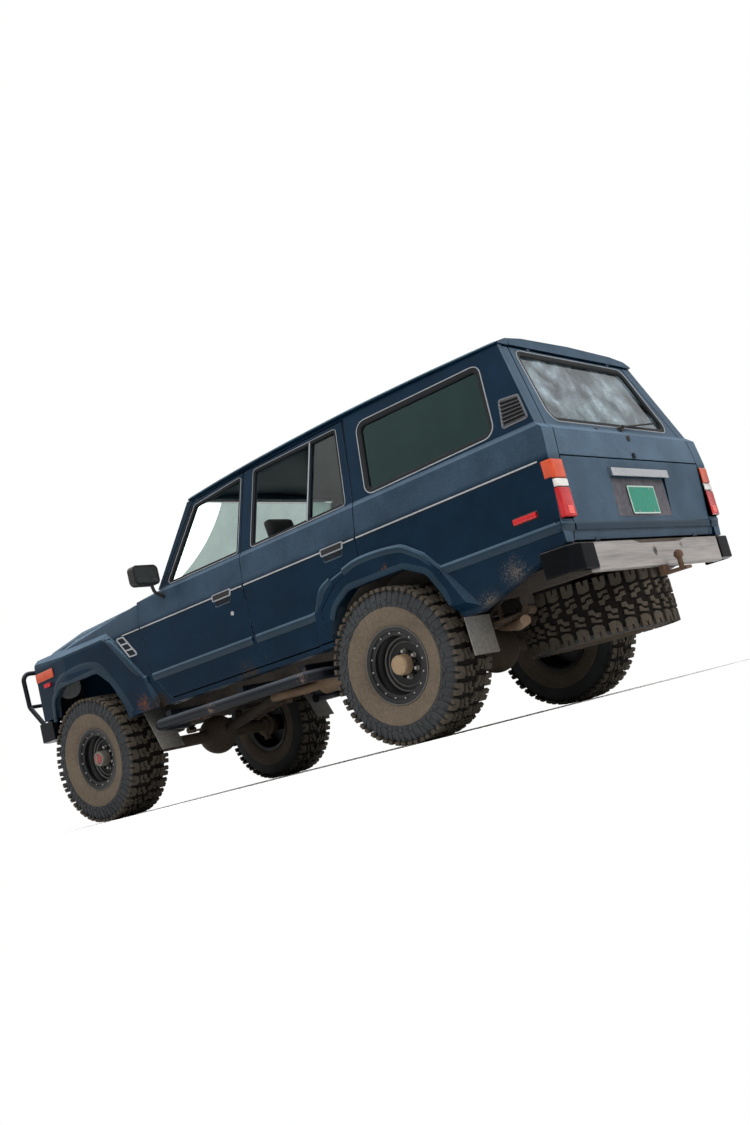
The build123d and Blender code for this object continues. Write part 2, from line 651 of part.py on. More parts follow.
wing_rear = shifted(A_GAP, DOOR_GAP / 2)
WING_OUTLINE = (
    ((1880, SILL_Z), (1880, DOOR_BOTTOM_Z - DOOR_GAP))
    + wing_rear
    + ((2070, 1300), (3322, 1300), (3322, 648), (3160, 648), (3160, SILL_Z))
)
FLARE_PLAN = ((2000, 0), (2000, FLARE_Y), (2900, FLARE_Y - 6), (3330, FLARE_Y - 44), (3330, 0))
with BuildPart() as left_wing:
    loft([wing_section(*row) for row in WING_STATIONS], ruled=True)
    with BuildPart(mode=Mode.PRIVATE) as bulge:
        extrude(side_view(FRONT_FLARE, FLARE_Y), amount=FLARE_Y - 830, taper=-FLARE_SLOPE)
        extrude(plan_view(FLARE_PLAN, 0), amount=1300, mode=Mode.INTERSECT)
    add(bulge.part)
    extrude(side_view(WING_OUTLINE, FLARE_Y + 10), amount=FLARE_Y, mode=Mode.INTERSECT)
    extrude(side_view(FRONT_ARCH, FLARE_Y + 10, 60), amount=FLARE_Y - 700, mode=Mode.SUBTRACT)
    apron = (
        (APRON_Y, FLOOR_Z),
        (APRON_Y, APRON_TOP_Z),
        (838, APRON_TOP_Z),
        (838, APRON_TOP_Z - APRON_WALL),
        (APRON_Y + APRON_WALL, APRON_TOP_Z - APRON_WALL),
        (APRON_Y + APRON_WALL, FLOOR_Z),
    )
    extrude(cross_section(apron, APRON_X[0]), amount=distance(*APRON_X))
    for z in DOOR_HINGE_Z:
        add(hinge_space(hinge_place(A_GAP, z), HINGE_RADIUS + 1), mode=Mode.SUBTRACT)

# Corner lamps, let into the front upper corners of the wings
CORNER_LAMP_X = (3112, 3350)
CORNER_LAMP_Y = (806, 874)
CORNER_LAMP_Z = (948, 1014)
with BuildPart() as corner_lamps:
    corner_plan = (
        (CORNER_LAMP_X[0], CORNER_LAMP_Y[1] + 3),
        (CORNER_LAMP_X[1] - 30, CORNER_LAMP_Y[1] - 10),
        (CORNER_LAMP_X[1], CORNER_LAMP_Y[1] - 30),
        (CORNER_LAMP_X[1], CORNER_LAMP_Y[0]),
        (CORNER_LAMP_X[1] - 40, CORNER_LAMP_Y[0]),
        (CORNER_LAMP_X[0] + 20, CORNER_LAMP_Y[1] - 40),
    )
    corner_height = CORNER_LAMP_Z[1] - CORNER_LAMP_Z[0]
    corner_lamp = extrude(plan_view(corner_plan, CORNER_LAMP_Z[0]), amount=corner_height)
    mirror(corner_lamp, about=Plane.XZ)
corner_lamps.part.label = "corner_lamps"
export_step(corner_lamps.part, "parts/corner_lamps.step")

with BuildPart() as front_wings:
    add(left_wing.part)
    corner_seat = offset(corner_lamp.solids(), amount=SEAT_GAP, mode=Mode.PRIVATE)
    add(corner_seat, mode=Mode.SUBTRACT)
    mirror(front_wings.part, about=Plane.XZ)
front_wings.part.label = "front_wings"
export_step(front_wings.part, "parts/front_wings.step")

# Bonnet: a lofted skin with a soft shoulder down each side
# station columns: distance, crown, inner shoulder, shoulder and edge heights
BONNET_STATIONS = (
    (2086, 1220, 1208, 1203, 1192),
    (2850, 1204, 1190, 1182, 1146),
    (3250, 1152, 1138, 1126, 1086),
    (3350, 1092, 1084, 1076, 1054),
)
BONNET_HALF_WIDTH = WING_SEAM_Y - LID_GAP
BONNET_WALL = 24
BONNET_HINGE = (2081, 1203)
bonnet_hinges = [
    Plane(origin=(along(BONNET_HINGE[0]), y, BODY_LIFT + BONNET_HINGE[1]), x_dir=(1, 0, 0), z_dir=(0, 1, 0))
    for y in (-560, 560)
]
with BuildPart() as bonnet:
    skins = []
    for x, crown_z, inner_z, shoulder_z, edge_z in BONNET_STATIONS:
        half = [(BONNET_HALF_WIDTH, edge_z), (742, shoulder_z), (690, inner_z), (0, crown_z)]
        top = half + [(-y, z) for y, z in half[-2::-1]]
        under = [(y, z - BONNET_WALL) for y, z in top[::-1]]
        skins.append(cross_section(top + under, x))
    loft(skins, ruled=True)
    for place in bonnet_hinges:
        add(hinge_space(place, HINGE_RADIUS + 1), mode=Mode.SUBTRACT)
        add(hinge_moving(place, (0, -2), (16, 5)))
bonnet.part.label = "bonnet"
export_step(bonnet.part, "parts/bonnet.step")

# Cowl and firewall in one pressing below the windscreen
FIREWALL_X = 1992
FIREWALL_HALF_WIDTH = 755.4
COWL_HALF_WIDTH = 790
cowl_profile = ((2076, COWL_Z[0]), (2076, COWL_Z[1]), (1862, COWL_Z[1]), (1862, COWL_Z[0]))
FIREWALL_TOP_Z = 1176
firewall_profile = (
    (FIREWALL_X, FLOOR_Z),
    (FIREWALL_X, FIREWALL_TOP_Z),
    (FIREWALL_X + SHEET, FIREWALL_TOP_Z),
    (FIREWALL_X + SHEET, FLOOR_Z),
)
with BuildPart() as cowl_panel:
    extrude(side_view(cowl_profile, COWL_HALF_WIDTH), amount=2 * COWL_HALF_WIDTH)
    extrude(side_view(firewall_profile, FIREWALL_HALF_WIDTH), amount=2 * FIREWALL_HALF_WIDTH)
cowl_panel.part.label = "cowl_panel"
export_step(cowl_panel.part, "parts/cowl_panel.step")

# Windscreen, between the pillars
SCREEN_WALL_X = 8
SCREEN_BELT_Y = 798
SCREEN_RAIL_Y = 661
screen_top_z = roof_height(A_PILLAR_TOP_X, WALL_TOP_DEPTH)
screen_rear = (
    (A_PILLAR_FOOT_X + SEAT_GAP, COWL_Z[1] + SEAT_GAP),
    (A_PILLAR_TOP_X + SEAT_GAP, screen_top_z),
)
screen_band = screen_rear + tuple((x + SCREEN_WALL_X, z) for x, z in screen_rear[::-1])
screen_side = ((SCREEN_BELT_Y, 1100), (SCREEN_BELT_Y, BELT_Z), (SCREEN_RAIL_Y, RAIL_Z))
screen_reach = screen_side + tuple((-y, z) for y, z in screen_side[::-1])
with BuildPart() as windscreen:
    extrude(side_view(screen_band, 800), amount=1600)
    extrude(cross_section(screen_reach, 1400), amount=600, mode=Mode.INTERSECT)
windscreen.part.label = "windscreen"
export_step(windscreen.part, "parts/windscreen.step")

# Front panel with its grille slats and round head lamps
PANEL_X = (3322.3, 3352)
PANEL_HALF_WIDTH = 826
PANEL_Z = (640.3, 1026)
GRILLE_HALF_WIDTH = 478
GRILLE_Z = (766, 988)
SLAT_COUNT = 5
SLAT_HEIGHT = 16
HEAD_LAMP_Y = 628
HEAD_LAMP_Z = 880
HEAD_LAMP_RADIUS = 92
with BuildPart() as grille_panel:
    with BuildSketch(station(PANEL_X[0])):
        with Locations((0, (PANEL_Z[0] + PANEL_Z[1]) / 2)):
            Rectangle(2 * PANEL_HALF_WIDTH, PANEL_Z[1] - PANEL_Z[0])
        with Locations((0, (GRILLE_Z[0] + GRILLE_Z[1]) / 2)):
            Rectangle(2 * GRILLE_HALF_WIDTH, GRILLE_Z[1] - GRILLE_Z[0], mode=Mode.SUBTRACT)
        with Locations((-HEAD_LAMP_Y, HEAD_LAMP_Z), (HEAD_LAMP_Y, HEAD_LAMP_Z)):
            Circle(HEAD_LAMP_RADIUS + SEAT_GAP, mode=Mode.SUBTRACT)
        slat_pitch = (GRILLE_Z[1] - GRILLE_Z[0]) / (SLAT_COUNT + 1)
        with Locations(*[(0, GRILLE_Z[0] + slat_pitch * (i + 1)) for i in range(SLAT_COUNT)]):
            Rectangle(2 * GRILLE_HALF_WIDTH + 2, SLAT_HEIGHT)
    extrude(amount=PANEL_X[1] - PANEL_X[0])
    add(corner_seat, mode=Mode.SUBTRACT)
    mirror(corner_seat, about=Plane.XZ, mode=Mode.SUBTRACT)
grille_panel.part.label = "grille_panel"
export_step(grille_panel.part, "parts/grille_panel.step")

with BuildPart() as head_lamps:
    with BuildSketch(station(PANEL_X[0]).offset(-40)):
        with Locations((-HEAD_LAMP_Y, HEAD_LAMP_Z), (HEAD_LAMP_Y, HEAD_LAMP_Z)):
            Circle(HEAD_LAMP_RADIUS)
    extrude(amount=PANEL_X[1] - PANEL_X[0] + 46)
head_lamps.part.label = "head_lamps"
export_step(head_lamps.part, "parts/head_lamps.step")

# Front bumper: a bent beam with its tube guard standing on it
BUMPER_Z = (506, 640)
BUMPER_DEPTH = 66
GUARD_RADIUS = 17
GUARD_X = OVERALL_LENGTH / 2 - GUARD_RADIUS
GUARD_LEAN = 14
GUARD_HALF_WIDTH = 830
GUARD_TOP_Z = 1046
GUARD_BEND = 60
GUARD_KNEE_Z = 796
GUARD_FOOT = (3420, 800)
bumper_outer = ((3240, 868), (3396, 868), (3474, 780), (3486, 0))
bumper_inner = ((3408, 740), (3362, 802), (3240, 802))
bumper_plan = bumper_outer[:3] + tuple((x, -y) for x, y in bumper_outer[2::-1])
bumper_plan += tuple((x, -y) for x, y in bumper_inner[::-1]) + bumper_inner
with BuildPart() as front_bumper:
    extrude(plan_view(bumper_plan, BUMPER_Z[0]), amount=BUMPER_Z[1] - BUMPER_Z[0])
    foot_z = BODY_LIFT + BUMPER_Z[1] - 20
    for side in (1, -1):
        with BuildLine() as guard_path:
            FilletPolyline(
                (along(GUARD_FOOT[0]), side * GUARD_FOOT[1], foot_z),
                (GUARD_X - GUARD_LEAN, side * GUARD_HALF_WIDTH, BODY_LIFT + GUARD_KNEE_Z),
                (GUARD_X, side * GUARD_HALF_WIDTH, BODY_LIFT + GUARD_TOP_Z),
                (GUARD_X, 0, BODY_LIFT + GUARD_TOP_Z),
                radius=GUARD_BEND,
            )
        with BuildSketch(Plane(origin=guard_path.line @ 0, z_dir=guard_path.line % 0)):
            Circle(GUARD_RADIUS)
        sweep(path=guard_path.line)
    bar_end = (GUARD_X - GUARD_LEAN, GUARD_HALF_WIDTH, BODY_LIFT + GUARD_KNEE_Z)
    with BuildSketch(Plane(origin=bar_end, z_dir=(0, -1, 0))):
        Circle(GUARD_RADIUS - 3)
    extrude(amount=2 * GUARD_HALF_WIDTH)
front_bumper.part.label = "front_bumper"
export_step(front_bumper.part, "parts/front_bumper.step")

# Rear bumper: a bright beam with black ends that wrap round the corners
REAR_BUMPER_X = (-1188, -1136)
REAR_BUMPER_Z = (442, 584)
REAR_BUMPER_HALF_WIDTH = 714
NOTCH_HALF_WIDTH = 300
NOTCH_DROP = 16
NOTCH_RUN = 70
END_STEP = 12
with BuildPart() as rear_bumper:
    beam_face = (
        (-REAR_BUMPER_HALF_WIDTH, REAR_BUMPER_Z[0]),
        (-REAR_BUMPER_HALF_WIDTH, REAR_BUMPER_Z[1]),
        (-NOTCH_HALF_WIDTH, REAR_BUMPER_Z[1]),
        (-NOTCH_HALF_WIDTH + NOTCH_RUN, REAR_BUMPER_Z[1] - NOTCH_DROP),
        (NOTCH_HALF_WIDTH - NOTCH_RUN, REAR_BUMPER_Z[1] - NOTCH_DROP),
        (NOTCH_HALF_WIDTH, REAR_BUMPER_Z[1]),
        (REAR_BUMPER_HALF_WIDTH, REAR_BUMPER_Z[1]),
        (REAR_BUMPER_HALF_WIDTH, REAR_BUMPER_Z[0]),
    )
    extrude(cross_section(beam_face, REAR_BUMPER_X[0]), amount=REAR_BUMPER_X[1] - REAR_BUMPER_X[0])
rear_bumper.part.label = "rear_bumper"
export_step(rear_bumper.part, "parts/rear_bumper.step")

end_plan = (
    (REAR_BUMPER_X[0] - 6, REAR_BUMPER_HALF_WIDTH + SEAT_GAP),
    (REAR_BUMPER_X[0] - 6, 850),
    (REAR_BUMPER_X[0] + 40, 908),
    (-1000, 914),
    (-1000, 890),
    (REAR_BUMPER_X[1] + 10, 890),
    (REAR_BUMPER_X[1] - 4, 850),
    (REAR_BUMPER_X[1] - 4, REAR_BUMPER_HALF_WIDTH + SEAT_GAP),
)
with BuildPart() as rear_bumper_ends:
    end_low_z = REAR_BUMPER_Z[0] + END_STEP
    end_cap = extrude(plan_view(end_plan, end_low_z), amount=REAR_BUMPER_Z[1] - end_low_z)
    mirror(end_cap, about=Plane.XZ)
rear_bumper_ends.part.label = "rear_bumper_ends"
export_step(rear_bumper_ends.part, "parts/rear_bumper_ends.step")

# Ladder frame: two rails drawn from the side and trimmed in plan, with crossmembers between
RAIL_WIDTH = 64
RAIL_FRONT_Y = 400
RAIL_REAR_Y = 496
rail_side = (
    (3408, 430), (3408, 530), (400, 540), (240, 610), (-240, 610), (-500, 560), (-1136, 560),
    (-1136, 468), (-540, 468), (-300, 510), (300, 510), (520, 420), (3200, 420),
)
rail_plan = (
    (3408, RAIL_FRONT_Y - RAIL_WIDTH / 2), (3408, RAIL_FRONT_Y + RAIL_WIDTH / 2),
    (1900, RAIL_FRONT_Y + RAIL_WIDTH / 2), (1300, RAIL_REAR_Y + RAIL_WIDTH / 2),
    (-1136, RAIL_REAR_Y + RAIL_WIDTH / 2), (-1136, RAIL_REAR_Y - RAIL_WIDTH / 2),
    (1300, RAIL_REAR_Y - RAIL_WIDTH / 2), (1900, RAIL_FRONT_Y - RAIL_WIDTH / 2),
)
# crossmember columns: distance ahead of the rear axle, half width, lowest height, depth
CROSSMEMBERS = (
    (3330, 372, 446, 60),
    (2250, 372, 424, 40),
    (1600, 418, 420, 25),
    (1250, 470, 400, 44),
    (560, 470, 440, 60),
    (-330, 470, 520, 70),
    (-1098, 470, 478, 60),
)
MEMBER_LENGTH = 56
SPRING_EYE_Z = 390
SPRING_EYE_RADIUS = 24
HANGER_LOW_Z = SPRING_EYE_Z + SPRING_EYE_RADIUS + SEAT_GAP
FRONT_SPRING_SPAN = 560
REAR_SPRING_SPAN = 610
# hanger columns: distance ahead of the rear axle, height where it ends inside the rail
SPRING_HANGERS = (
    (WHEELBASE + FRONT_SPRING_SPAN, 440),
    (WHEELBASE - FRONT_SPRING_SPAN, 440),
    (REAR_SPRING_SPAN, 440),
    (-REAR_SPRING_SPAN, 490),
)
# Engine, gearbox and transfer case columns: rear, front, half width, lowest and highest height
ENGINE = ((2060, 2980, 190, 500, 1010), (1560, 2062, 130, 445.3, 536), (1284, 1562, 150, 400, 530))
ENGINE_MOUNT = (2500, 514)
SPARE_X = -711
SPARE_Z = 306
SPARE_BEAM = ((-1070, 522), (-1070, 536), (-358, 536), (-358, 522))
SPARE_BEAM_WIDTH = 40
SPARE_DISC = (12, 22)
with BuildPart() as frame:
    extrude(side_view(rail_side, 600), amount=300)
    extrude(plan_view(rail_plan, 0), amount=1000, mode=Mode.INTERSECT)
    mirror(frame.part, about=Plane.XZ)
    for x, half_width, low_z, depth in CROSSMEMBERS:
        with Locations((along(x), 0, BODY_LIFT + low_z + depth / 2)):
            Box(MEMBER_LENGTH, 2 * half_width, depth)
    for x, high_z in SPRING_HANGERS:
        y = RAIL_FRONT_Y if x > WHEELBASE / 2 else RAIL_REAR_Y
        for side in (1, -1):
            with Locations((REAR_AXLE_X + x, side * y, BODY_LIFT + (HANGER_LOW_Z + high_z) / 2)):
                Box(44, RAIL_WIDTH, high_z - HANGER_LOW_Z)
    for side in (1, -1):
        mount_y = (ENGINE[0][2] + SEAT_GAP + RAIL_FRONT_Y - RAIL_WIDTH / 2) / 2
        with Locations((along(ENGINE_MOUNT[0]), side * mount_y, BODY_LIFT + ENGINE_MOUNT[1])):
            Box(70, 2 * (mount_y - ENGINE[0][2] - SEAT_GAP), 28)
    # beam and rod that the spare wheel hangs on
    extrude(side_view(SPARE_BEAM, SPARE_BEAM_WIDTH / 2), amount=SPARE_BEAM_WIDTH)
    rod_low_z = SPARE_Z - SPARE_DISC[0] + SEAT_GAP
    rod_high_z = SPARE_BEAM[1][1] - 12
    with Locations((along(SPARE_X), 0, BODY_LIFT + (rod_low_z + rod_high_z) / 2)):
        Cylinder(8, rod_high_z - rod_low_z)
frame.part.label = "frame"
export_step(frame.part, "parts/frame.step")

# Floor pan with the raised load floor and the wheel tubs
FLOOR_HALF_WIDTH = 763.7
floor_profile = (
    (FIREWALL_X, FLOOR_Z), (430, FLOOR_Z), (360, CARGO_FLOOR_Z), (-1070, CARGO_FLOOR_Z),
    (-1070, CARGO_FLOOR_Z - SHEET), (344, CARGO_FLOOR_Z - SHEET), (414, FLOOR_Z - SHEET),
    (FIREWALL_X, FLOOR_Z - SHEET),
)
LOAD_HALF_WIDTH = 818.3
load_floor_profile = (
    (-500, CARGO_FLOOR_Z), (-1070, CARGO_FLOOR_Z),
    (-1070, CARGO_FLOOR_Z - SHEET), (-500, CARGO_FLOOR_Z - SHEET),
)
REAR_SILL_HALF_WIDTH = 811.5
REAR_SILL_Z = (560.3, 600)
TUB_FLOOR = 6
TUB_WALL = 12
rear_sill_profile = (
    (-1128, REAR_SILL_Z[0]), (-1128, REAR_SILL_Z[1]), (-1070, REAR_SILL_Z[1]), (-1070, CARGO_FLOOR_Z),
    (-1050, CARGO_FLOOR_Z), (-1050, REAR_SILL_Z[0]),
)
with BuildPart() as floor_pan:
    extrude(side_view(floor_profile, FLOOR_HALF_WIDTH), amount=2 * FLOOR_HALF_WIDTH)
    extrude(side_view(load_floor_profile, LOAD_HALF_WIDTH), amount=2 * LOAD_HALF_WIDTH)
    extrude(side_view(rear_sill_profile, REAR_SILL_HALF_WIDTH), amount=2 * REAR_SILL_HALF_WIDTH)
    for side in (1, -1):
        tub_centre = (REAR_AXLE_X, side * TUB_Y[0], TYRE_RADIUS)
        tub_plane = Plane(origin=tub_centre, x_dir=(side, 0, 0), z_dir=(0, side, 0))
        with BuildSketch(tub_plane):
            Circle(TUB_RADIUS)
        extrude(amount=TUB_Y[1] - TUB_Y[0])
        with BuildSketch(tub_plane.offset(TUB_FLOOR)):
            Circle(TUB_RADIUS - TUB_WALL)
        extrude(amount=TUB_Y[1] - TUB_Y[0], mode=Mode.SUBTRACT)
    # nothing of the tubs stays below the floor
    with Locations((0, 0, BODY_LIFT + FLOOR_Z - SHEET - OVERALL_LENGTH / 2)):
        Box(OVERALL_LENGTH, OVERALL_LENGTH, OVERALL_LENGTH, mode=Mode.SUBTRACT)
floor_pan.part.label = "floor_pan"
export_step(floor_pan.part, "parts/floor_pan.step")

# Side steps: bent tubes carried on the frame rails
STEP_RADIUS = 34
STEP_Y = 896
STEP_INNER_Y = 620
STEP_Z = 372
STEP_X = (556, 2136)
STEP_BEND = 110
STEP_DROP = 12
STEP_BRACKET_X = (700, 1240, 1930)
STEP_BRACKET = (50, 60)
with BuildPart() as side_steps:
    for side in (1, -1):
        z = BODY_LIFT + STEP_Z
        with BuildLine() as step_path:
            FilletPolyline(
                (along(STEP_X[0] + STEP_RADIUS + 6), side * STEP_INNER_Y, z - STEP_DROP),
                (along(STEP_X[0] + STEP_RADIUS), side * STEP_Y, z),
                (along(STEP_X[1] - STEP_RADIUS), side * STEP_Y, z),
                (along(STEP_X[1] - STEP_RADIUS - 6), side * STEP_INNER_Y, z - STEP_DROP),
                radius=STEP_BEND,
            )
        with BuildSketch(Plane(origin=step_path.line @ 0, z_dir=step_path.line % 0)):
            Circle(STEP_RADIUS)
        sweep(path=step_path.line)
        for x in STEP_BRACKET_X:
            rail_y = RAIL_FRONT_Y + RAIL_WIDTH / 2 if x > 1600 else RAIL_REAR_Y + RAIL_WIDTH / 2
            with Locations((along(x), side * (rail_y + SEAT_GAP + STEP_Y) / 2, BODY_LIFT + STEP_Z + 40)):
                Box(STEP_BRACKET[0], STEP_Y - rail_y - SEAT_GAP, STEP_BRACKET[1])
side_steps.part.label = "side_steps"
export_step(side_steps.part, "parts/side_steps.step")

# Mud flaps behind all four wheels
FLAP_WALL = 6
# flap columns: upper edge, lower edge, inner and outer half width
FLAPS = (
    ((2291, 556), (2150, 222), 646, 829.7),
    ((-448, 417.7), (-456, 216), 640, 862),
)
with BuildPart() as mud_flaps:
    for (top_x, top_z), (low_x, low_z), inner_y, outer_y in FLAPS:
        flap = ((top_x, top_z), (low_x, low_z), (low_x - FLAP_WALL, low_z), (top_x - FLAP_WALL, top_z))
        sheet = extrude(side_view(flap, outer_y), amount=outer_y - inner_y)
        mirror(sheet, about=Plane.XZ)
mud_flaps.part.label = "mud_flaps"
export_step(mud_flaps.part, "parts/mud_flaps.step")

# Axle housings with their differentials, and the balls that the knuckles turn on
KINGPIN_Y = 665
KINGPIN_RADIUS = 12
KNUCKLE_RADIUS = 92
AXLE_TUBE_RADIUS = 44
BALL_RADIUS = 62
DIFF_RADIUS = 142
DIFF_Y = -170
SPINDLE_LENGTH = 66
SPINDLE_FOOT_Y = HALF_TRACK - SPINDLE_LENGTH
with BuildPart() as axles:
    for x, end_y, diff_y in ((FRONT_AXLE_X, KINGPIN_Y, DIFF_Y), (REAR_AXLE_X, SPINDLE_FOOT_Y, 0)):
        with Locations(Location((x, 0, TYRE_RADIUS), (90, 0, 0))):
            Cylinder(AXLE_TUBE_RADIUS, 2 * end_y)
        with Locations((x, diff_y, TYRE_RADIUS)):
            Sphere(DIFF_RADIUS)
    with Locations((FRONT_AXLE_X, KINGPIN_Y, TYRE_RADIUS), (FRONT_AXLE_X, -KINGPIN_Y, TYRE_RADIUS)):
        Sphere(BALL_RADIUS)
        Cylinder(KINGPIN_RADIUS, 2 * KNUCKLE_RADIUS)
    for side in (1, -1):
        spindle_y = (SPINDLE_FOOT_Y + HALF_TRACK) / 2
        with Locations(Location((REAR_AXLE_X, side * spindle_y, TYRE_RADIUS), (90, 0, 0))):
            Cylinder(SPINDLE_RADIUS, SPINDLE_LENGTH)
axles.part.label = "axles"
export_step(axles.part, "parts/axles.step")

# Steering knuckles: hollow half balls round the axle's ends, each with its wheel spindle
BALL_CLEARANCE = 6
KNUCKLE_FLANGE = 8
KINGPIN_BOSS = (30, 34)
for name, side in (("left", 1), ("right", -1)):
    with BuildPart() as knuckle:
        with Locations((FRONT_AXLE_X, side * KINGPIN_Y, TYRE_RADIUS)):
            Sphere(KNUCKLE_RADIUS)
            Sphere(BALL_RADIUS + BALL_CLEARANCE, mode=Mode.SUBTRACT)
            inner_y = -side * (KNUCKLE_RADIUS + 8)
            outer_y = side * (SPINDLE_FOOT_Y - KINGPIN_Y + KNUCKLE_RADIUS)
            with Locations((0, inner_y, 0), (0, outer_y, 0)):
                Box(3 * KNUCKLE_RADIUS, 2 * KNUCKLE_RADIUS, 3 * KNUCKLE_RADIUS, mode=Mode.SUBTRACT)
        flange_y = side * (SPINDLE_FOOT_Y - KNUCKLE_FLANGE / 2)
        with Locations(Location((FRONT_AXLE_X, flange_y, TYRE_RADIUS), (90, 0, 0))):
            Cylinder(KNUCKLE_RADIUS - 20, KNUCKLE_FLANGE)
        spindle_y = side * (SPINDLE_FOOT_Y + SPINDLE_LENGTH / 2 - 1)
        with Locations(Location((FRONT_AXLE_X, spindle_y, TYRE_RADIUS), (90, 0, 0))):
            Cylinder(SPINDLE_RADIUS, SPINDLE_LENGTH)
        for up in (1, -1):
            with Locations((FRONT_AXLE_X, side * KINGPIN_Y, TYRE_RADIUS + up * (KNUCKLE_RADIUS + 4))):
                Cylinder(*KINGPIN_BOSS)
        with Locations((FRONT_AXLE_X, side * KINGPIN_Y, TYRE_RADIUS)):
            Sphere(BALL_RADIUS + BALL_CLEARANCE, mode=Mode.SUBTRACT)
            Cylinder(KINGPIN_RADIUS + SEAT_GAP, 3 * KNUCKLE_RADIUS, mode=Mode.SUBTRACT)
    knuckle.part.label = f"knuckle_{name}"
    export_step(knuckle.part, f"parts/knuckle_{name}.step")

# Wheels: a tyre and a deep dished steel rim with its hub, each turned about the wheel's axis
# tyre half section columns: distance from the middle, radius
TYRE_SECTION = (
    (110, BEAD_RADIUS), (110, RIM_LIP_RADIUS + 3), (128, 222), (148, 262), (153, 322),
    (148, 368), (128, 396), (96, 406), (0, 408),
)
# lug row columns: distance from the middle, length across, length round the tyre, turn in pitches
LUG_ROWS = ((113, 84, 70, 0), (36, 54, 62, 0.5), (-36, 54, 62, 0), (-113, 84, 70, 0.5))
LUG_COUNT = 18
LUG_FOOT_RADIUS = 386
# rim section columns: distance outboard of the middle, radius
RIM_SECTION = (
    (-126, RIM_LIP_RADIUS), (-118, RIM_LIP_RADIUS), (-113, BEAD_RADIUS - SEAT_GAP),
    (-70, BEAD_RADIUS - SEAT_GAP), (-50, BEAD_RADIUS - 16), (30, BEAD_RADIUS - 16),
    (50, BEAD_RADIUS - SEAT_GAP), (113, BEAD_RADIUS - SEAT_GAP), (118, RIM_LIP_RADIUS), (126, RIM_LIP_RADIUS),
    (120, BEAD_RADIUS - 10), (56, BEAD_RADIUS - 10), (36, BEAD_RADIUS - 26),
    (-56, BEAD_RADIUS - 26), (-76, BEAD_RADIUS - 10), (-120, BEAD_RADIUS - 10),
)
HUB_SECTION = (
    (-58, SPINDLE_RADIUS + SEAT_GAP), (-58, HUB_RADIUS), (DISC_OFFSET, HUB_RADIUS),
    (DISC_OFFSET, BEAD_RADIUS - 12), (DISC_OFFSET + DISC_WALL, BEAD_RADIUS - 12),
    (DISC_OFFSET + DISC_WALL, 52),
    (DISC_OFFSET + HUB_LENGTH - 10, 46), (DISC_OFFSET + HUB_LENGTH, 38), (DISC_OFFSET + HUB_LENGTH, 0),
    (6, 0), (6, SPINDLE_RADIUS + SEAT_GAP),
)


def wheel_section(points, centre, side):
    """A closed section in the plane through the wheel's axis, drawn outboard and up."""
    with BuildSketch(Plane(origin=centre, x_dir=(0, side, 0), z_dir=(side, 0, 0))) as drawn:
        with BuildLine():
            Polyline(*points, close=True)
        make_face()
    return drawn.sketch


def tread_lugs(wheel_plane):
    """The tread's blocks in four rows round the tyre, their flat tops on its full radius."""
    middle = (LUG_FOOT_RADIUS + TYRE_RADIUS) / 2
    with BuildPart() as lugs:
        for across, width, length, turn in LUG_ROWS:
            with Locations(wheel_plane.offset(across)):
                with PolarLocations(middle, LUG_COUNT, start_angle=turn * 360 / LUG_COUNT):
                    Box(TYRE_RADIUS - LUG_FOOT_RADIUS, length, width)
    return lugs.part


tyre_outline = TYRE_SECTION + tuple((-y, r) for y, r in TYRE_SECTION[-2::-1])
corners = (
    ("front_left", FRONT_AXLE_X, 1),
    ("front_right", FRONT_AXLE_X, -1),
    ("rear_left", REAR_AXLE_X, 1),
    ("rear_right", REAR_AXLE_X, -1),
)
for name, x, side in corners:
    centre = (x, side * HALF_TRACK, TYRE_RADIUS)
    axis = Axis(centre, (0, 1, 0))
    with BuildPart() as tyre:
        revolve(wheel_section(tyre_outline, centre, side), axis)
        add(tread_lugs(Plane(origin=centre, x_dir=(1, 0, 0), z_dir=(0, side, 0))))
    tyre.part.label = f"tyre_{name}"
    export_step(tyre.part, f"parts/tyre_{name}.step")
    with BuildPart() as rim:
        revolve(wheel_section(RIM_SECTION, centre, side), axis)
        revolve(wheel_section(HUB_SECTION, centre, side), axis)
        disc_face = (x, side * (HALF_TRACK + DISC_OFFSET + DISC_WALL), TYRE_RADIUS)
        with BuildSketch(Plane(origin=disc_face, x_dir=(1, 0, 0), z_dir=(0, side, 0))):
            with PolarLocations(STUD_CIRCLE / 2, STUD_COUNT):
                Circle(STUD_RADIUS)
        extrude(amount=STUD_LENGTH)
    rim.part.label = f"rim_{name}"
    export_step(rim.part, f"parts/rim_{name}.step")

# Spare wheel hung flat under the rear floor
with BuildPart() as spare_wheel:
    centre = (along(SPARE_X), 0, BODY_LIFT + SPARE_Z)
    near, far = SPARE_DISC
    spare_disc = ((near, 0), (near, BEAD_RADIUS - 12), (far, BEAD_RADIUS - 12), (far, 0))
    for section in (tyre_outline, RIM_SECTION, spare_disc):
        with BuildSketch(Plane(origin=centre, x_dir=(0, 0, -1), z_dir=(0, -1, 0))) as drawn:
            with BuildLine():
                Polyline(*section, close=True)
            make_face()
        revolve(axis=Axis(centre, (0, 0, 1)))
    add(tread_lugs(Plane(origin=centre, x_dir=(1, 0, 0), z_dir=(0, 0, 1))))
spare_wheel.part.label = "spare_wheel"
export_step(spare_wheel.part, "parts/spare_wheel.step")

# Leaf springs: packs of bowed leaves between the rails and the axles
LEAF_WALL = 9
LEAF_COUNT = 5
LEAF_WIDTH = 68
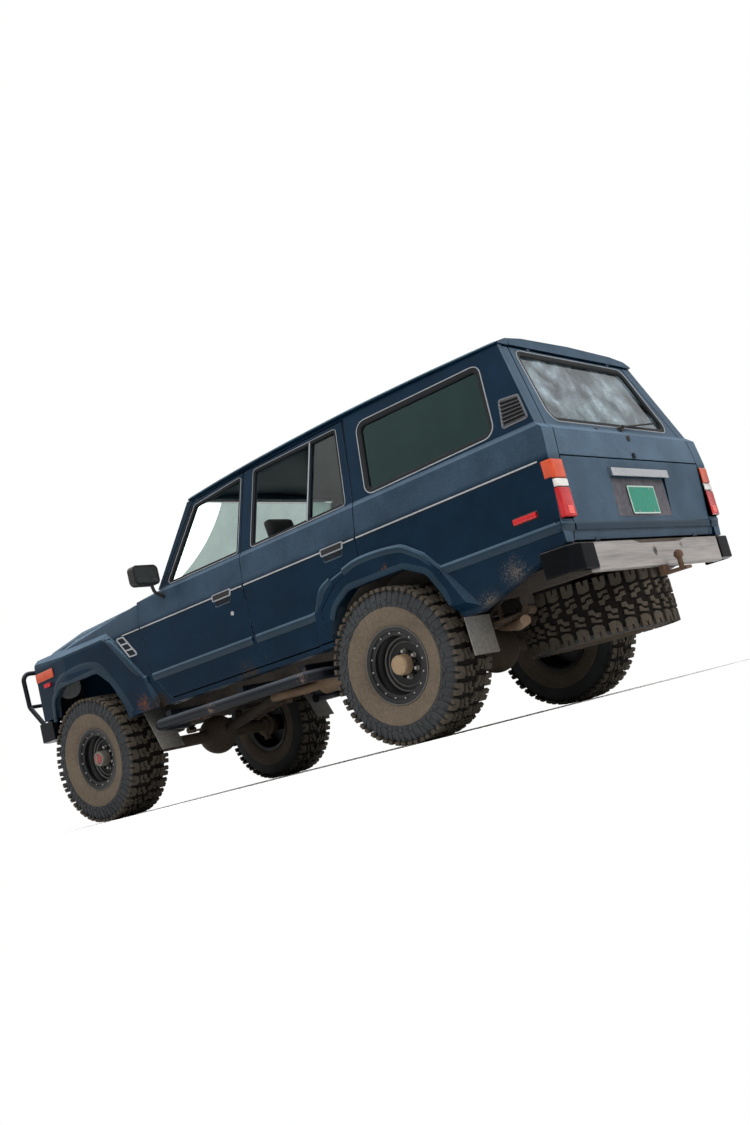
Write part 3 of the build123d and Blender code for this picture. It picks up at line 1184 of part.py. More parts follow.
# spring columns: axle, half width from the middle, half span
SPRINGS = ((FRONT_AXLE_X, RAIL_FRONT_Y, FRONT_SPRING_SPAN), (REAR_AXLE_X, RAIL_REAR_Y, REAR_SPRING_SPAN))
LEAF_TOP_Z = TYRE_RADIUS + AXLE_TUBE_RADIUS + LEAF_WALL * LEAF_COUNT
LEAF_EYE_Z = BODY_LIFT + SPRING_EYE_Z
with BuildPart() as leaf_springs:
    for axle_x, y, span in SPRINGS:
        sag = LEAF_EYE_Z - LEAF_TOP_Z
        bow = (span ** 2 + sag ** 2) / (2 * sag)
        for side in (1, -1):
            spring_face = (axle_x, side * y + LEAF_WIDTH / 2, LEAF_TOP_Z)
            with BuildSketch(Plane(origin=spring_face, x_dir=(1, 0, 0), z_dir=(0, -1, 0))):
                for leaf in range(LEAF_COUNT):
                    reach = math.degrees(math.asin(span / bow)) * (1 - leaf / (LEAF_COUNT + 1))
                    with BuildLine():
                        top = CenterArc((0, bow), bow + LEAF_WALL * leaf, -90 - reach, 2 * reach)
                        low = CenterArc((0, bow), bow + LEAF_WALL * (leaf + 1), -90 - reach, 2 * reach)
                        Line(top @ 0, low @ 0)
                        Line(top @ 1, low @ 1)
                    make_face()
                with Locations((-span, sag), (span, sag)):
                    Circle(SPRING_EYE_RADIUS)
            extrude(amount=LEAF_WIDTH)
leaf_springs.part.label = "leaf_springs"
export_step(leaf_springs.part, "parts/leaf_springs.step")

# Engine, gearbox and transfer case as one plain block
with BuildPart() as engine:
    for low_x, high_x, half_width, low_z, high_z in ENGINE:
        with Locations(((along(low_x) + along(high_x)) / 2, 0, BODY_LIFT + (low_z + high_z) / 2)):
            Box(distance(low_x, high_x), 2 * half_width, high_z - low_z)
engine.part.label = "engine"
export_step(engine.part, "parts/engine.step")

# Seats: two in front and a rear bench
# seat columns: front of the cushion, middle, half width, cushion length, base's front, rear and floor
SEATS = (
    (1390, 380, 250, 500, 1320, 940, FLOOR_Z),
    (1390, -380, 250, 500, 1320, 940, FLOOR_Z),
    (520, 0, 586, 470, 330, 60, CARGO_FLOOR_Z),
)
CUSHION_Z = (FLOOR_Z + 150, FLOOR_Z + 300)
BACK_HEIGHT = 560
with BuildPart() as seats:
    for front_x, y, half_width, length, base_front_x, base_rear_x, floor_z in SEATS:
        seat_profile = (
            (front_x, CUSHION_Z[0]), (front_x, CUSHION_Z[1]),
            (front_x - length + 90, CUSHION_Z[1] - 30), (front_x - length - 60, CUSHION_Z[1] + BACK_HEIGHT),
            (front_x - length - 170, CUSHION_Z[1] + BACK_HEIGHT), (front_x - length - 30, CUSHION_Z[0]),
        )
        extrude(side_view(seat_profile, y + half_width, 24), amount=2 * half_width)
        base = (
            (base_front_x, floor_z + SEAT_GAP), (base_front_x, CUSHION_Z[0] + 20),
            (base_rear_x, CUSHION_Z[0] + 20), (base_rear_x, floor_z + SEAT_GAP),
        )
        extrude(side_view(base, y + half_width - 30), amount=2 * half_width - 60)
seats.part.label = "seats"
export_step(seats.part, "parts/seats.step")

# Tow ball on its drawbar
BALL_X = -1262
TOW_BALL_RADIUS = 25
BALL_Z = 475
DRAWBAR_END_X = -1300
DRAWBAR_WIDTH = 70
BALL_STEM = (14, 60)
BALL_STEM_DROP = 40
with BuildPart() as tow_ball:
    with Locations((along(BALL_X), 0, BODY_LIFT + BALL_Z)):
        Sphere(TOW_BALL_RADIUS)
    with Locations((along(BALL_X), 0, BODY_LIFT + BALL_Z - BALL_STEM_DROP)):
        Cylinder(*BALL_STEM)
    drawbar = (
        (DRAWBAR_END_X, BALL_Z - 84), (DRAWBAR_END_X, BALL_Z - 68), (-1180, BALL_Z - 68),
        (-1180, REAR_BUMPER_Z[0]), (-1150, REAR_BUMPER_Z[0]), (-1150, BALL_Z - 84),
    )
    extrude(side_view(drawbar, DRAWBAR_WIDTH / 2), amount=DRAWBAR_WIDTH)
tow_ball.part.label = "tow_ball"
export_step(tow_ball.part, "parts/tow_ball.step")

# Steering wheel on its sloped column, on the driver's side
STEERING_Y = 380
STEERING_HUB = (1470, 1120)
STEERING_RADIUS = 190
STEERING_GRIP = 14
COLUMN_SLOPE = 28
COLUMN_RADIUS = 26
COLUMN_LENGTH = 300
STEERING_HUB_SIZE = (44, 40)
SPOKE_SIZE = (STEERING_RADIUS - 30, 26, 12)
column_tilt = math.radians(COLUMN_SLOPE)
hub_point = (along(STEERING_HUB[0]), STEERING_Y, BODY_LIFT + STEERING_HUB[1])
column_line = (-math.cos(column_tilt), 0, math.sin(column_tilt))
column_plane = Plane(origin=hub_point, x_dir=(0, 1, 0), z_dir=column_line)
with BuildPart() as steering_wheel:
    with Locations(column_plane):
        Torus(STEERING_RADIUS, STEERING_GRIP)
        Cylinder(*STEERING_HUB_SIZE)
        with PolarLocations((STEERING_RADIUS + 30) / 2, 3, start_angle=90):
            Box(*SPOKE_SIZE)
steering_wheel.part.label = "steering_wheel"
export_step(steering_wheel.part, "parts/steering_wheel.step")

# Dashboard with the steering column's shroud
DASH_HALF_WIDTH = 740
dash_profile = (
    (FIREWALL_X - SEAT_GAP, 1010), (FIREWALL_X - SEAT_GAP, 1160), (1720, 1160),
    (1640, 1110), (1640, 1000), (1720, 960),
)
with BuildPart() as dashboard:
    extrude(side_view(dash_profile, DASH_HALF_WIDTH), amount=2 * DASH_HALF_WIDTH)
    with BuildSketch(column_plane.offset(-STEERING_HUB_SIZE[1] / 2 - SEAT_GAP)):
        Circle(COLUMN_RADIUS)
    extrude(amount=-COLUMN_LENGTH)
dashboard.part.label = "dashboard"
export_step(dashboard.part, "parts/dashboard.step")

# Door mirrors on short arms at the front doors' upper corners
MIRROR_X = 1768
MIRROR_Y = 972
MIRROR_Z = 1290
MIRROR_HEAD = (58, 200, 130)
MIRROR_CORNER = 34
MIRROR_ARM_RADIUS = 11
# mirror arm columns: half width, height
MIRROR_ARM = ((846, 1140), (930, 1180), (945, MIRROR_Z - 50))
with BuildPart() as mirror_left:
    with Locations((along(MIRROR_X), MIRROR_Y + 16, BODY_LIFT + MIRROR_Z)):
        Box(*MIRROR_HEAD)
    fillet(mirror_left.edges().filter_by(Axis.X), MIRROR_CORNER)
    with BuildLine() as arm_path:
        FilletPolyline(*[(along(MIRROR_X), y, BODY_LIFT + z) for y, z in MIRROR_ARM], radius=30)
    with BuildSketch(Plane(origin=arm_path.line @ 0, z_dir=arm_path.line % 0)):
        Circle(MIRROR_ARM_RADIUS)
    sweep(path=arm_path.line)
    add(left_wall.part, mode=Mode.SUBTRACT)
mirror_left.part.label = "mirror_left"
export_step(mirror_left.part, "parts/mirror_left.step")
with BuildPart() as mirror_right:
    mirror(mirror_left.part, about=Plane.XZ)
mirror_right.part.label = "mirror_right"
export_step(mirror_right.part, "parts/mirror_right.step")

# Propeller shafts from the transfer case to both axles
SHAFT_RADIUS = 36
transfer_z = BODY_LIFT + 500
pinion_z = TYRE_RADIUS + 20
# shaft columns: its two ends as distance, half width and height
SHAFTS = (
    ((along(1288), 0, transfer_z), (REAR_AXLE_X + DIFF_RADIUS - 4, 0, pinion_z)),
    ((along(1564), DIFF_Y, transfer_z), (FRONT_AXLE_X - DIFF_RADIUS + 4, DIFF_Y, pinion_z)),
)
with BuildPart() as prop_shafts:
    for start, end in SHAFTS:
        with BuildSketch(Plane(origin=start, z_dir=Vector(*end) - Vector(*start))):
            Circle(SHAFT_RADIUS)
        extrude(amount=(Vector(*end) - Vector(*start)).length)
    add(axles.part, mode=Mode.SUBTRACT)
    add(engine.part, mode=Mode.SUBTRACT)
prop_shafts.part.label = "prop_shafts"
export_step(prop_shafts.part, "parts/prop_shafts.step")

# Shock absorbers: a body and a rod each, leaning between rail and axle
SHOCK_RADIUS = 27
SHOCK_ROD_RADIUS = 11
# shock columns: axle, half width, lower and upper ends' reach from the axle, rail's inner face
SHOCKS = ((FRONT_AXLE_X, 332, -30, -150, 368), (REAR_AXLE_X, 420, -30, -430, 464))
SHOCK_EYE_RADIUS = 18
SHOCK_TOP_Z = 500
with BuildPart() as shock_absorbers:
    for axle_x, y, low_reach, high_reach, rail_y in SHOCKS:
        for side in (1, -1):
            low = Vector(axle_x + low_reach, side * y, TYRE_RADIUS + 8)
            high = Vector(axle_x + high_reach, side * y, BODY_LIFT + SHOCK_TOP_Z)
            line = Plane(origin=low, z_dir=high - low)
            reach = (high - low).length
            with BuildSketch(line):
                Circle(SHOCK_RADIUS)
            extrude(amount=reach * 0.6)
            with BuildSketch(line):
                Circle(SHOCK_ROD_RADIUS)
            extrude(amount=reach)
            pin_length = rail_y - SEAT_GAP - y + SHOCK_EYE_RADIUS
            pin_y = side * (rail_y - SEAT_GAP - pin_length / 2)
            with Locations(Location((high.X, pin_y, high.Z), (90, 0, 0))):
                Cylinder(SHOCK_EYE_RADIUS, pin_length)
    add(axles.part, mode=Mode.SUBTRACT)
shock_absorbers.part.label = "shock_absorbers"
export_step(shock_absorbers.part, "parts/shock_absorbers.step")

# Fuel tank between the rails, ahead of the rear axle
TANK_SIZE = (460, 300, 138)
TANK_X = 880
TANK_Y = -290
TANK_CORNER = 30
with BuildPart() as fuel_tank:
    tank_top_z = BODY_LIFT + FLOOR_Z - SHEET - SEAT_GAP
    with Locations((along(TANK_X), TANK_Y, tank_top_z - TANK_SIZE[2] / 2)):
        Box(*TANK_SIZE)
    fillet(fuel_tank.edges().filter_by(Axis.X), TANK_CORNER)
fuel_tank.part.label = "fuel_tank"
export_step(fuel_tank.part, "parts/fuel_tank.step")

# Exhaust: a pipe from the engine with its silencer, out behind the left rear wheel
PIPE_RADIUS = 28
PIPE_BEND = 60
SILENCER_RADIUS = 66
# route columns: distance ahead of the rear axle, half width, height
EXHAUST_ROUTE = (
    (1700, 190, 384), (1360, 216, 366), (700, 300, 366), (380, 322, 390), (170, 332, 440), (-180, 332, 440),
    (-330, 350, 360), (-500, 470, 330), (-660, 640, 330),
)
# hanger columns: distance, half width, height in the pipe and under the crossmember
EXHAUST_HANGERS = ((1250, 230, 366, 400), (560, 310, 376, 440), (-330, 350, 372, 520))
with BuildPart() as exhaust:
    route = [(along(x), y, BODY_LIFT + z) for x, y, z in EXHAUST_ROUTE]
    with BuildLine() as pipe_path:
        FilletPolyline(*route, radius=PIPE_BEND)
    with BuildSketch(Plane(origin=pipe_path.line @ 0, z_dir=pipe_path.line % 0)):
        Circle(PIPE_RADIUS)
    sweep(path=pipe_path.line)
    silencer_axis = Vector(*route[2]) - Vector(*route[1])
    with BuildSketch(Plane(origin=Vector(*route[1]) + silencer_axis * 0.3, z_dir=silencer_axis)):
        Circle(SILENCER_RADIUS)
    extrude(amount=silencer_axis.length * 0.6)
    for x, y, low_z, high_z in EXHAUST_HANGERS:
        with Locations((along(x), y, BODY_LIFT + (low_z + high_z - SEAT_GAP) / 2)):
            Box(20, 12, high_z - SEAT_GAP - low_z)
exhaust.part.label = "exhaust"
export_step(exhaust.part, "parts/exhaust.step")

# Hinges' fixed halves, seated on the posts, cowl, roof header and rear sill
with BuildPart() as hinges:
    for z in DOOR_HINGE_Z:
        add(hinge_fixed(hinge_place(A_GAP, z), (-3.2, 0), (-0.6, 112)))
        add(hinge_fixed(hinge_place(B_GAP, z), (-1.5, 0), (1.5, 90)))
    mirror(hinges.part, about=Plane.XZ)
    for place in bonnet_hinges:
        add(hinge_fixed(place, (-4.7, 0), (-1.5, 25)))
    for place in hatch_hinges:
        add(hinge_fixed(place, (-4.9, -3), (0, 3), SMALL_HINGE_RADIUS))
    for place in gate_hinges:
        add(hinge_fixed(place, (-7.7, -3), (0, 8), SMALL_HINGE_RADIUS))
    add(body_sides.part, mode=Mode.SUBTRACT)
hinges.part.label = "hinges"
export_step(hinges.part, "parts/hinges.step")
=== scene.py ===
import math

import bmesh
import bpy
from mathutils import Matrix, Vector


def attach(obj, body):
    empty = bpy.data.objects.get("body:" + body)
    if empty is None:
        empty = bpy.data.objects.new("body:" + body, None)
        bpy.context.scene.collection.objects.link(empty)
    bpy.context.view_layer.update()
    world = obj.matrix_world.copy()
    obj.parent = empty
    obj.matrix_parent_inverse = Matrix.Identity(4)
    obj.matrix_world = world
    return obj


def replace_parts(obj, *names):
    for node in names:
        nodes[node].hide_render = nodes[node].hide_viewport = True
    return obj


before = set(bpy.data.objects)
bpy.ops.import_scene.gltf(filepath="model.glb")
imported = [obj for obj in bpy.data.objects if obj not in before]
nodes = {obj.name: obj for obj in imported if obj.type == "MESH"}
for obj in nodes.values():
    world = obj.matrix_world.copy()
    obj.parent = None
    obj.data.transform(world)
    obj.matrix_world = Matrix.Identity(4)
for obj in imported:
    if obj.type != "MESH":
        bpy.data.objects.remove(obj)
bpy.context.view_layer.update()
scene = bpy.context.scene

# Camera, at floor level beyond the car's left rear corner, rolled as the photograph is.
# It looks up a little and along the flank, so the nose points down to the left of the picture.
EYE = Vector((-4.9091, 5.5468, 0.03))
SIGHT = Vector((0.62201, -0.7671, 0.15704)).normalized()
HEAD = Vector((-0.28783, -0.03749, 0.95695))
FOCAL_PIXELS, LONG_SIDE_PIXELS = 1135.97, 1125
right_hand = SIGHT.cross(HEAD).normalized()
head = right_hand.cross(SIGHT)
camera_data = bpy.data.cameras.new("camera")
camera_data.sensor_width = 36
camera_data.lens = FOCAL_PIXELS / LONG_SIDE_PIXELS * camera_data.sensor_width
camera_data.clip_end = 200
camera = bpy.data.objects.new("camera", camera_data)
camera.matrix_world = Matrix.Translation(EYE) @ Matrix((right_hand, head, -SIGHT)).transposed().to_4x4()
scene.collection.objects.link(camera)
scene.camera = camera


# Studio: a pale floor, a white surround for camera, reflections and glass, and soft boxes above.
# The surround lights the car only a little, and mirrors paler overhead than along the floor.
def shader(name, **sockets):
    material = bpy.data.materials.new(name)
    material.use_nodes = True
    surface = material.node_tree.nodes["Principled BSDF"]
    for socket, value in sockets.items():
        surface.inputs[socket.replace("_", " ")].default_value = value
    return material, surface


def add_node(tree, kind, sockets=None, **settings):
    node = tree.nodes.new("ShaderNode" + kind)
    for key, value in settings.items():
        setattr(node, key, value)
    for key, value in (sockets or {}).items():
        if isinstance(value, bpy.types.NodeSocket):
            tree.links.new(value, node.inputs[key])
        else:
            node.inputs[key].default_value = value
    return node


def reckon(tree, operation, first, second, third=0.5, **settings):
    """The result of one Math node."""
    return add_node(tree, "Math", {0: first, 1: second, 2: third}, operation=operation, **settings).outputs[0]


def ramp(tree, value, start, end, low=0.0, high=1.0):
    """A value between two limits, as start becomes low and end becomes high."""
    limits = {"From Min": start, "From Max": end, "To Min": low, "To Max": high}
    return add_node(tree, "MapRange", {"Value": value, **limits}).outputs[0]


scene.view_settings.view_transform = "Standard"
world = bpy.data.worlds.new("studio")
world.use_nodes = True
scene.world = world
sky = world.node_tree
rays = add_node(sky, "LightPath").outputs
seen = reckon(sky, "MAXIMUM", rays["Is Camera Ray"], rays["Is Transmission Ray"])
heading = add_node(sky, "SeparateXYZ", {0: add_node(sky, "TexCoord").outputs["Generated"]}).outputs["Z"]
mirrored = reckon(sky, "MULTIPLY", rays["Is Glossy Ray"], ramp(sky, heading, -0.1, 0.6, 0.4))
strength = ramp(sky, reckon(sky, "MAXIMUM", seen, mirrored), 0.0, 1.0, 0.3)
sky.nodes["Background"].inputs["Color"].default_value = (1, 1, 1, 1)
sky.links.new(strength, sky.nodes["Background"].inputs["Strength"])

# The floor keeps its shadow near the car and fades to the white of the surround away from it.
FLOOR_REACH, SHADOW_REACH = 60, (2.6, 4.6)
floor_mesh = bpy.data.meshes.new("floor")
corners = [(x * FLOOR_REACH, y * FLOOR_REACH, 0) for x, y in ((-1, -1), (1, -1), (1, 1), (-1, 1))]
floor_mesh.from_pydata(corners, [], [(0, 1, 2, 3)])
floor = bpy.data.objects.new("floor", floor_mesh)
scene.collection.objects.link(floor)
floor_paint, floor_surface = shader("floor_paint", Base_Color=(0.82, 0.82, 0.81, 1), Roughness=0.85)
tree = floor_paint.node_tree
spot = add_node(tree, "TexCoord").outputs["Object"]
away = add_node(tree, "VectorMath", {0: spot}, operation="LENGTH").outputs["Value"]
watched = add_node(tree, "LightPath").outputs["Is Camera Ray"]
away = reckon(tree, "MULTIPLY", ramp(tree, away, *SHADOW_REACH), watched)
white = add_node(tree, "Emission", {"Color": (1, 1, 1, 1), "Strength": 1.0}).outputs[0]
both = add_node(tree, "MixShader", {0: away, 1: floor_surface.outputs[0], 2: white}).outputs[0]
tree.links.new(both, tree.nodes["Material Output"].inputs["Surface"])
floor_mesh.materials.append(floor_paint)

for lamp_name, place, size, power in (
    ("soft_box_side", (-1.0, 7.5, 6.0), 4.5, 400),
    ("soft_box_rear", (-8.5, 0.0, 4.5), 4.0, 480),
    ("soft_box_top", (0.0, 0.5, 8.0), 6.0, 620),
    ("soft_box_front", (8.0, -4.0, 5.0), 5.0, 300),
):
    lamp_data = bpy.data.lights.new(lamp_name, "AREA")
    lamp_data.shape = "DISK"
    lamp_data.size = size
    lamp_data.energy = power
    lamp = bpy.data.objects.new(lamp_name, lamp_data)
    lamp.location = place
    lamp.visible_glossy = False
    lamp.rotation_mode = "QUATERNION"
    lamp.rotation_quaternion = (Vector((0, 0, 0.8)) - Vector(place)).to_track_quat("-Z", "Y")
    scene.collection.objects.link(lamp)


# Body panels: pressed steel in a dark blue satin paint, weathered, paler where it faces up or back and along the belt,
# from dust and a painted highlight.
# Their edges are turned over, so each panel of the frame gets a small round on its edges.
FACING_UP, FACING_BACK, MUD_FADE = (0.27, 0.75), (-0.6, -0.9), 0.4


def noise(tree, place, scale, detail, rough=0.5):
    sockets = {"Vector": place, "Scale": scale, "Detail": detail, "Roughness": rough}
    return add_node(tree, "TexNoise", sockets).outputs["Fac"]


def mix(tree, share, first, second):
    """A colour between two, each plain or from a node."""
    colours = {key: c if isinstance(c, bpy.types.NodeSocket) else (*c, 1) for key, c in ((6, first), (7, second))}
    return add_node(tree, "Mix", {"Factor": share, **colours}, data_type="RGBA").outputs[2]


def emboss(tree, surface, height, strength, depth):
    relief = add_node(tree, "Bump", {"Height": height, "Strength": strength, "Distance": depth}).outputs[0]
    tree.links.new(relief, surface.inputs["Normal"])


def finish(
    name, colour, roughness, metallic=0.0, specular=0.5, vary=0.25, grain=90.0, bump=0.15, stretch=(1, 1, 1),
    dust_and_highlight=(0.3, 0.26, 0.21), top_dust_and_highlight=0.0, tail_highlight=0.0, all_over=0.0, mud_top=0.0, mud=0.0, belt_highlight=None, spots=(),
):
    """A painted, moulded or bare surface with its blotches, grain, dust, mud line and rust spots; the colour mixed in
    on faces turned up or back and on a belt band is dust, and on the body paints also a painted highlight.
    """
    material, surface = shader(name, Metallic=metallic, Specular_IOR_Level=specular)
    tree = material.node_tree
    coord = add_node(tree, "TexCoord")
    place = add_node(tree, "Mapping", {"Vector": coord.outputs["Object"], "Scale": stretch}).outputs[0]
    spot_place = coord.outputs["Object"]
    blotch, fine = noise(tree, place, 4.0, 6.0, 0.6), noise(tree, place, grain, 3.0)
    blend = add_node(tree, "Mix", {"Factor": 0.35, 2: blotch, 3: fine}, data_type="FLOAT").outputs[0]
    darker, lighter = [c * (1 - vary) for c in colour], [min(c * (1 + vary), 1) for c in colour]
    tint = mix(tree, ramp(tree, blend, 0.3, 0.7), darker, lighter)
    facing = add_node(tree, "SeparateXYZ", {0: coord.outputs["Normal"]}).outputs["Z"]
    height = add_node(tree, "SeparateXYZ", {0: coord.outputs["Object"]}).outputs["Z"]
    # Faces turned up take the dust colour: real dust, and on the body paints a painted highlight as well.
    up = ramp(tree, facing, *FACING_UP, high=top_dust_and_highlight)
    low = ramp(tree, height, mud_top, mud_top - MUD_FADE, high=mud)
    total = reckon(tree, "ADD", up, low)
    # Faces turned back are made paler: a painted highlight from the light behind the car.
    if tail_highlight:
        back = add_node(tree, "SeparateXYZ", {0: coord.outputs["Normal"]}).outputs["X"]
        total = reckon(tree, "ADD", total, ramp(tree, back, *FACING_BACK, high=tail_highlight))
    total = reckon(tree, "ADD", total, all_over)
    # A paler band between two heights: a painted highlight where the belt tilts up to the light.
    if belt_highlight:
        bottom, top, amount = belt_highlight
        rise, fall = ramp(tree, height, bottom, bottom + 0.03), ramp(tree, height, top + 0.02, top)
        total = reckon(tree, "MULTIPLY_ADD", reckon(tree, "MULTIPLY", rise, fall), amount, total)
    dust_and_highlight_share = reckon(tree, "MULTIPLY", total, ramp(tree, blotch, 0.3, 0.7, 0.7, 1.2))
    dust_and_highlight_share = reckon(tree, "MULTIPLY", dust_and_highlight_share, ramp(tree, fine, 0.35, 0.65, 0.7, 1.25), use_clamp=True)
    shown, worn = mix(tree, dust_and_highlight_share, tint, dust_and_highlight), dust_and_highlight_share
    for centre, reach, fineness, spot_colour, cover in spots:
        gap = add_node(tree, "VectorMath", {0: spot_place, 1: centre}, operation="DISTANCE").outputs["Value"]
        spot = reckon(tree, "MULTIPLY", ramp(tree, gap, reach, 0.0), noise(tree, spot_place, fineness, 8.0, 0.75))
        spot = ramp(tree, spot, cover, cover + 0.12)
        shown, worn = mix(tree, spot, shown, spot_colour), reckon(tree, "MAXIMUM", worn, spot)
    tree.links.new(shown, surface.inputs["Base Color"])
    tree.links.new(ramp(tree, worn, 0.0, 1.0, roughness, 0.92), surface.inputs["Roughness"])
    emboss(tree, surface, fine, bump, 0.002)
    return material


REAR_AXLE_X, LIFT = -1132.5, 140


def at(x, y, z):
    """Place on the car's drawing: millimetres ahead of the rear axle, left of the middle, and up."""
    return Vector((x + REAR_AXLE_X, y, z + LIFT)) / 1000


RUST, SPLASH = (0.1, 0.04, 0.018), (0.09, 0.078, 0.062)
BODY_SPOTS = (
    # centre, reach, fineness, colour, how little of the spot is covered
    (at(2130, 880, 530), 0.3, 45.0, RUST, 0.38),
    (at(2000, 870, 500), 0.22, 45.0, (0.02, 0.014, 0.01), 0.3),
    (at(-60, 905, 780), 0.17, 45.0, RUST, 0.42),
    (at(-830, 880, 540), 0.42, 120.0, SPLASH, 0.43),
    (at(-640, 870, 430), 0.3, 120.0, SPLASH, 0.4),
    (at(1150, 880, 500), 0.4, 45.0, (0.03, 0.024, 0.018), 0.4),
)
STRIP_HEIGHT, SHOULDER_HEIGHT = 1.152, 1.335
# The paler blue mixed in on top, on the tail and along the belt between the strip and the shoulder is a painted
# highlight, with some dust.
paint = finish(
    "blue_satin_paint", (0.0024, 0.0125, 0.027), 0.28, specular=0.09, vary=0.4, grain=220.0, bump=0.03,
    dust_and_highlight=(0.12, 0.175, 0.235), top_dust_and_highlight=0.42, tail_highlight=0.34, mud_top=0.7, mud=0.05,
    belt_highlight=(STRIP_HEIGHT, SHOULDER_HEIGHT, 0.2), spots=BODY_SPOTS,
)
FLAT_ANGLE, SHARP_ANGLE = math.radians(0.6), math.radians(25)


def soften(thing, width):
    """Rounds a frame node's sharp edges with modifiers, and leaves its mesh as it is."""
    weld = thing.modifiers.new("weld", "WELD")
    weld.merge_threshold = 0.00003
    flat = thing.modifiers.new("flat", "DECIMATE")
    flat.decimate_type = "DISSOLVE"
    flat.angle_limit = FLAT_ANGLE
    edge = thing.modifiers.new("edge", "BEVEL")
    edge.width = width
    edge.segments = 2
    edge.limit_method = "ANGLE"
    edge.angle_limit = SHARP_ANGLE
    edge.harden_normals = True


def dress(names, material, width=0.0):
    """Gives nodes of the frame one material, and a round on their edges where a width is given."""
    for name in names:
        node = nodes[name]
        node.data.materials.clear()
        node.data.materials.append(material)
        if width:
            soften(node, width)


SIDES = (("left", 1), ("right", -1))
dress([f"door_{end}_{side}" for end in ("front", "rear") for side, _ in SIDES], paint, 0.004)
dress(("body_sides", "front_wings", "bonnet", "hatch", "tailgate", "roof_panel", "cowl_panel"), paint, 0.004)


# Pressed ledge: a rounded step along the lower flank, over the wheels and across the tail.
# Each panel has its own length of it, so the ledge parts with the doors and the tailgate.
WALL = ((410, 863), (482, 872), (690, 897), (1012, 886), (1186, 853), (1212, 836), (1738, 697))


def skin(z):
    """Half width of the flank at height z on the drawing."""
    for (low_z, low_y), (high_z, high_y) in zip(WALL, WALL[1:]):
        if low_z <= z <= high_z:
            return low_y + (high_y - low_y) * (z - low_z) / (high_z - low_z)
    return WALL[0][1] if z < WALL[0][0] else WALL[-1][1]


def lean(z):
    """Outward direction of the left flank at height z."""
    return Vector((0, 8, skin(z - 4) - skin(z + 4))).normalized()


def on_skin(x, z):
    return at(x, skin(z), z)


def smooth_path(points, steps=6):
    """A soft line through the given points."""
    ends = [points[0] * 2 - points[1], *points, points[-1] * 2 - points[-2]]
    line = []
    for a, b, c, d in zip(ends, ends[1:], ends[2:], ends[3:]):
        for i in range(steps):
            t = i / steps
            cubic = (b * 3 - a - c * 3 + d) * t ** 3
            line.append((b * 2 + (c - a) * t + (a * 2 - b * 5 + c * 4 - d) * t * t + cubic) / 2)
    return line + [points[-1]]


def loft(rings, closed=False):
    """A solid over outlines of as many points; its ends are capped, or the last one joins the first."""
    count, verts, faces = len(rings[0]), [point for ring in rings for point in ring], []
    for i in range(len(rings) if closed else len(rings) - 1):
        a, b = i * count, (i + 1) % len(rings) * count
        faces += [(a + j, a + (j + 1) % count, b + (j + 1) % count, b + j) for j in range(count)]
    if not closed:
        faces += [tuple(range(count)), tuple(range(len(verts) - 1, len(verts) - count - 1, -1))]
    return verts, faces


def sweep(line, outs, section, closed=False):
    """A section in (across, out), in metres, carried along a line; across points down on a forward run."""
    rings = []
    for i, point in enumerate(line):
        before = line[i - 1] if closed or i else point
        after = line[(i + 1) % len(line)] if closed or i + 1 < len(line) else point
        across = outs[i].cross((after - before).normalized()).normalized()
        rings.append([point + across * a + outs[i] * b for a, b in section])
    return loft(rings, closed)


CREASE_ANGLE = math.radians(35)


def make(name, parts, body, flip=False, move=(0, 0, 0)):
    """One piece from parts of (vertices, faces, material), closed, normals outwards, riding on its body."""
    verts, faces, finishes, materials = [], [], [], []
    for part_verts, part_faces, material in parts:
        if material not in materials:
            materials.append(material)
        start = len(verts)
        verts += [Vector(v) + Vector(move) for v in part_verts]
        faces += [[start + i for i in face] for face in part_faces]
        finishes += [materials.index(material)] * len(part_faces)
    mesh = bpy.data.meshes.new(name)
    mesh.from_pydata([(v.x, -v.y, v.z) if flip else tuple(v) for v in verts], [], faces)
    mesh.polygons.foreach_set("material_index", finishes)
    for material in materials:
        mesh.materials.append(material)
    work = bmesh.new()
    work.from_mesh(mesh)
    bmesh.ops.remove_doubles(work, verts=work.verts, dist=0.000005)
    bmesh.ops.recalc_face_normals(work, faces=work.faces)
    work.to_mesh(mesh)
    work.free()
    mesh.polygons.foreach_set("use_smooth", [True] * len(mesh.polygons))
    mesh.set_sharp_from_angle(angle=CREASE_ANGLE)
    thing = bpy.data.objects.new(name, mesh)
    scene.collection.objects.link(thing)
    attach(thing, body)
    return thing


def make_pair(name, parts, body, move=(0, 0, 0)):
    """The piece on the car's left and its mirror image on the right; a body's braces take the side."""
    return [make(f"{name}_{side}", parts, body.format(side), sign < 0, move) for side, sign in SIDES]


def mm(pairs):
    return [(a / 1000, b / 1000) for a, b in pairs]


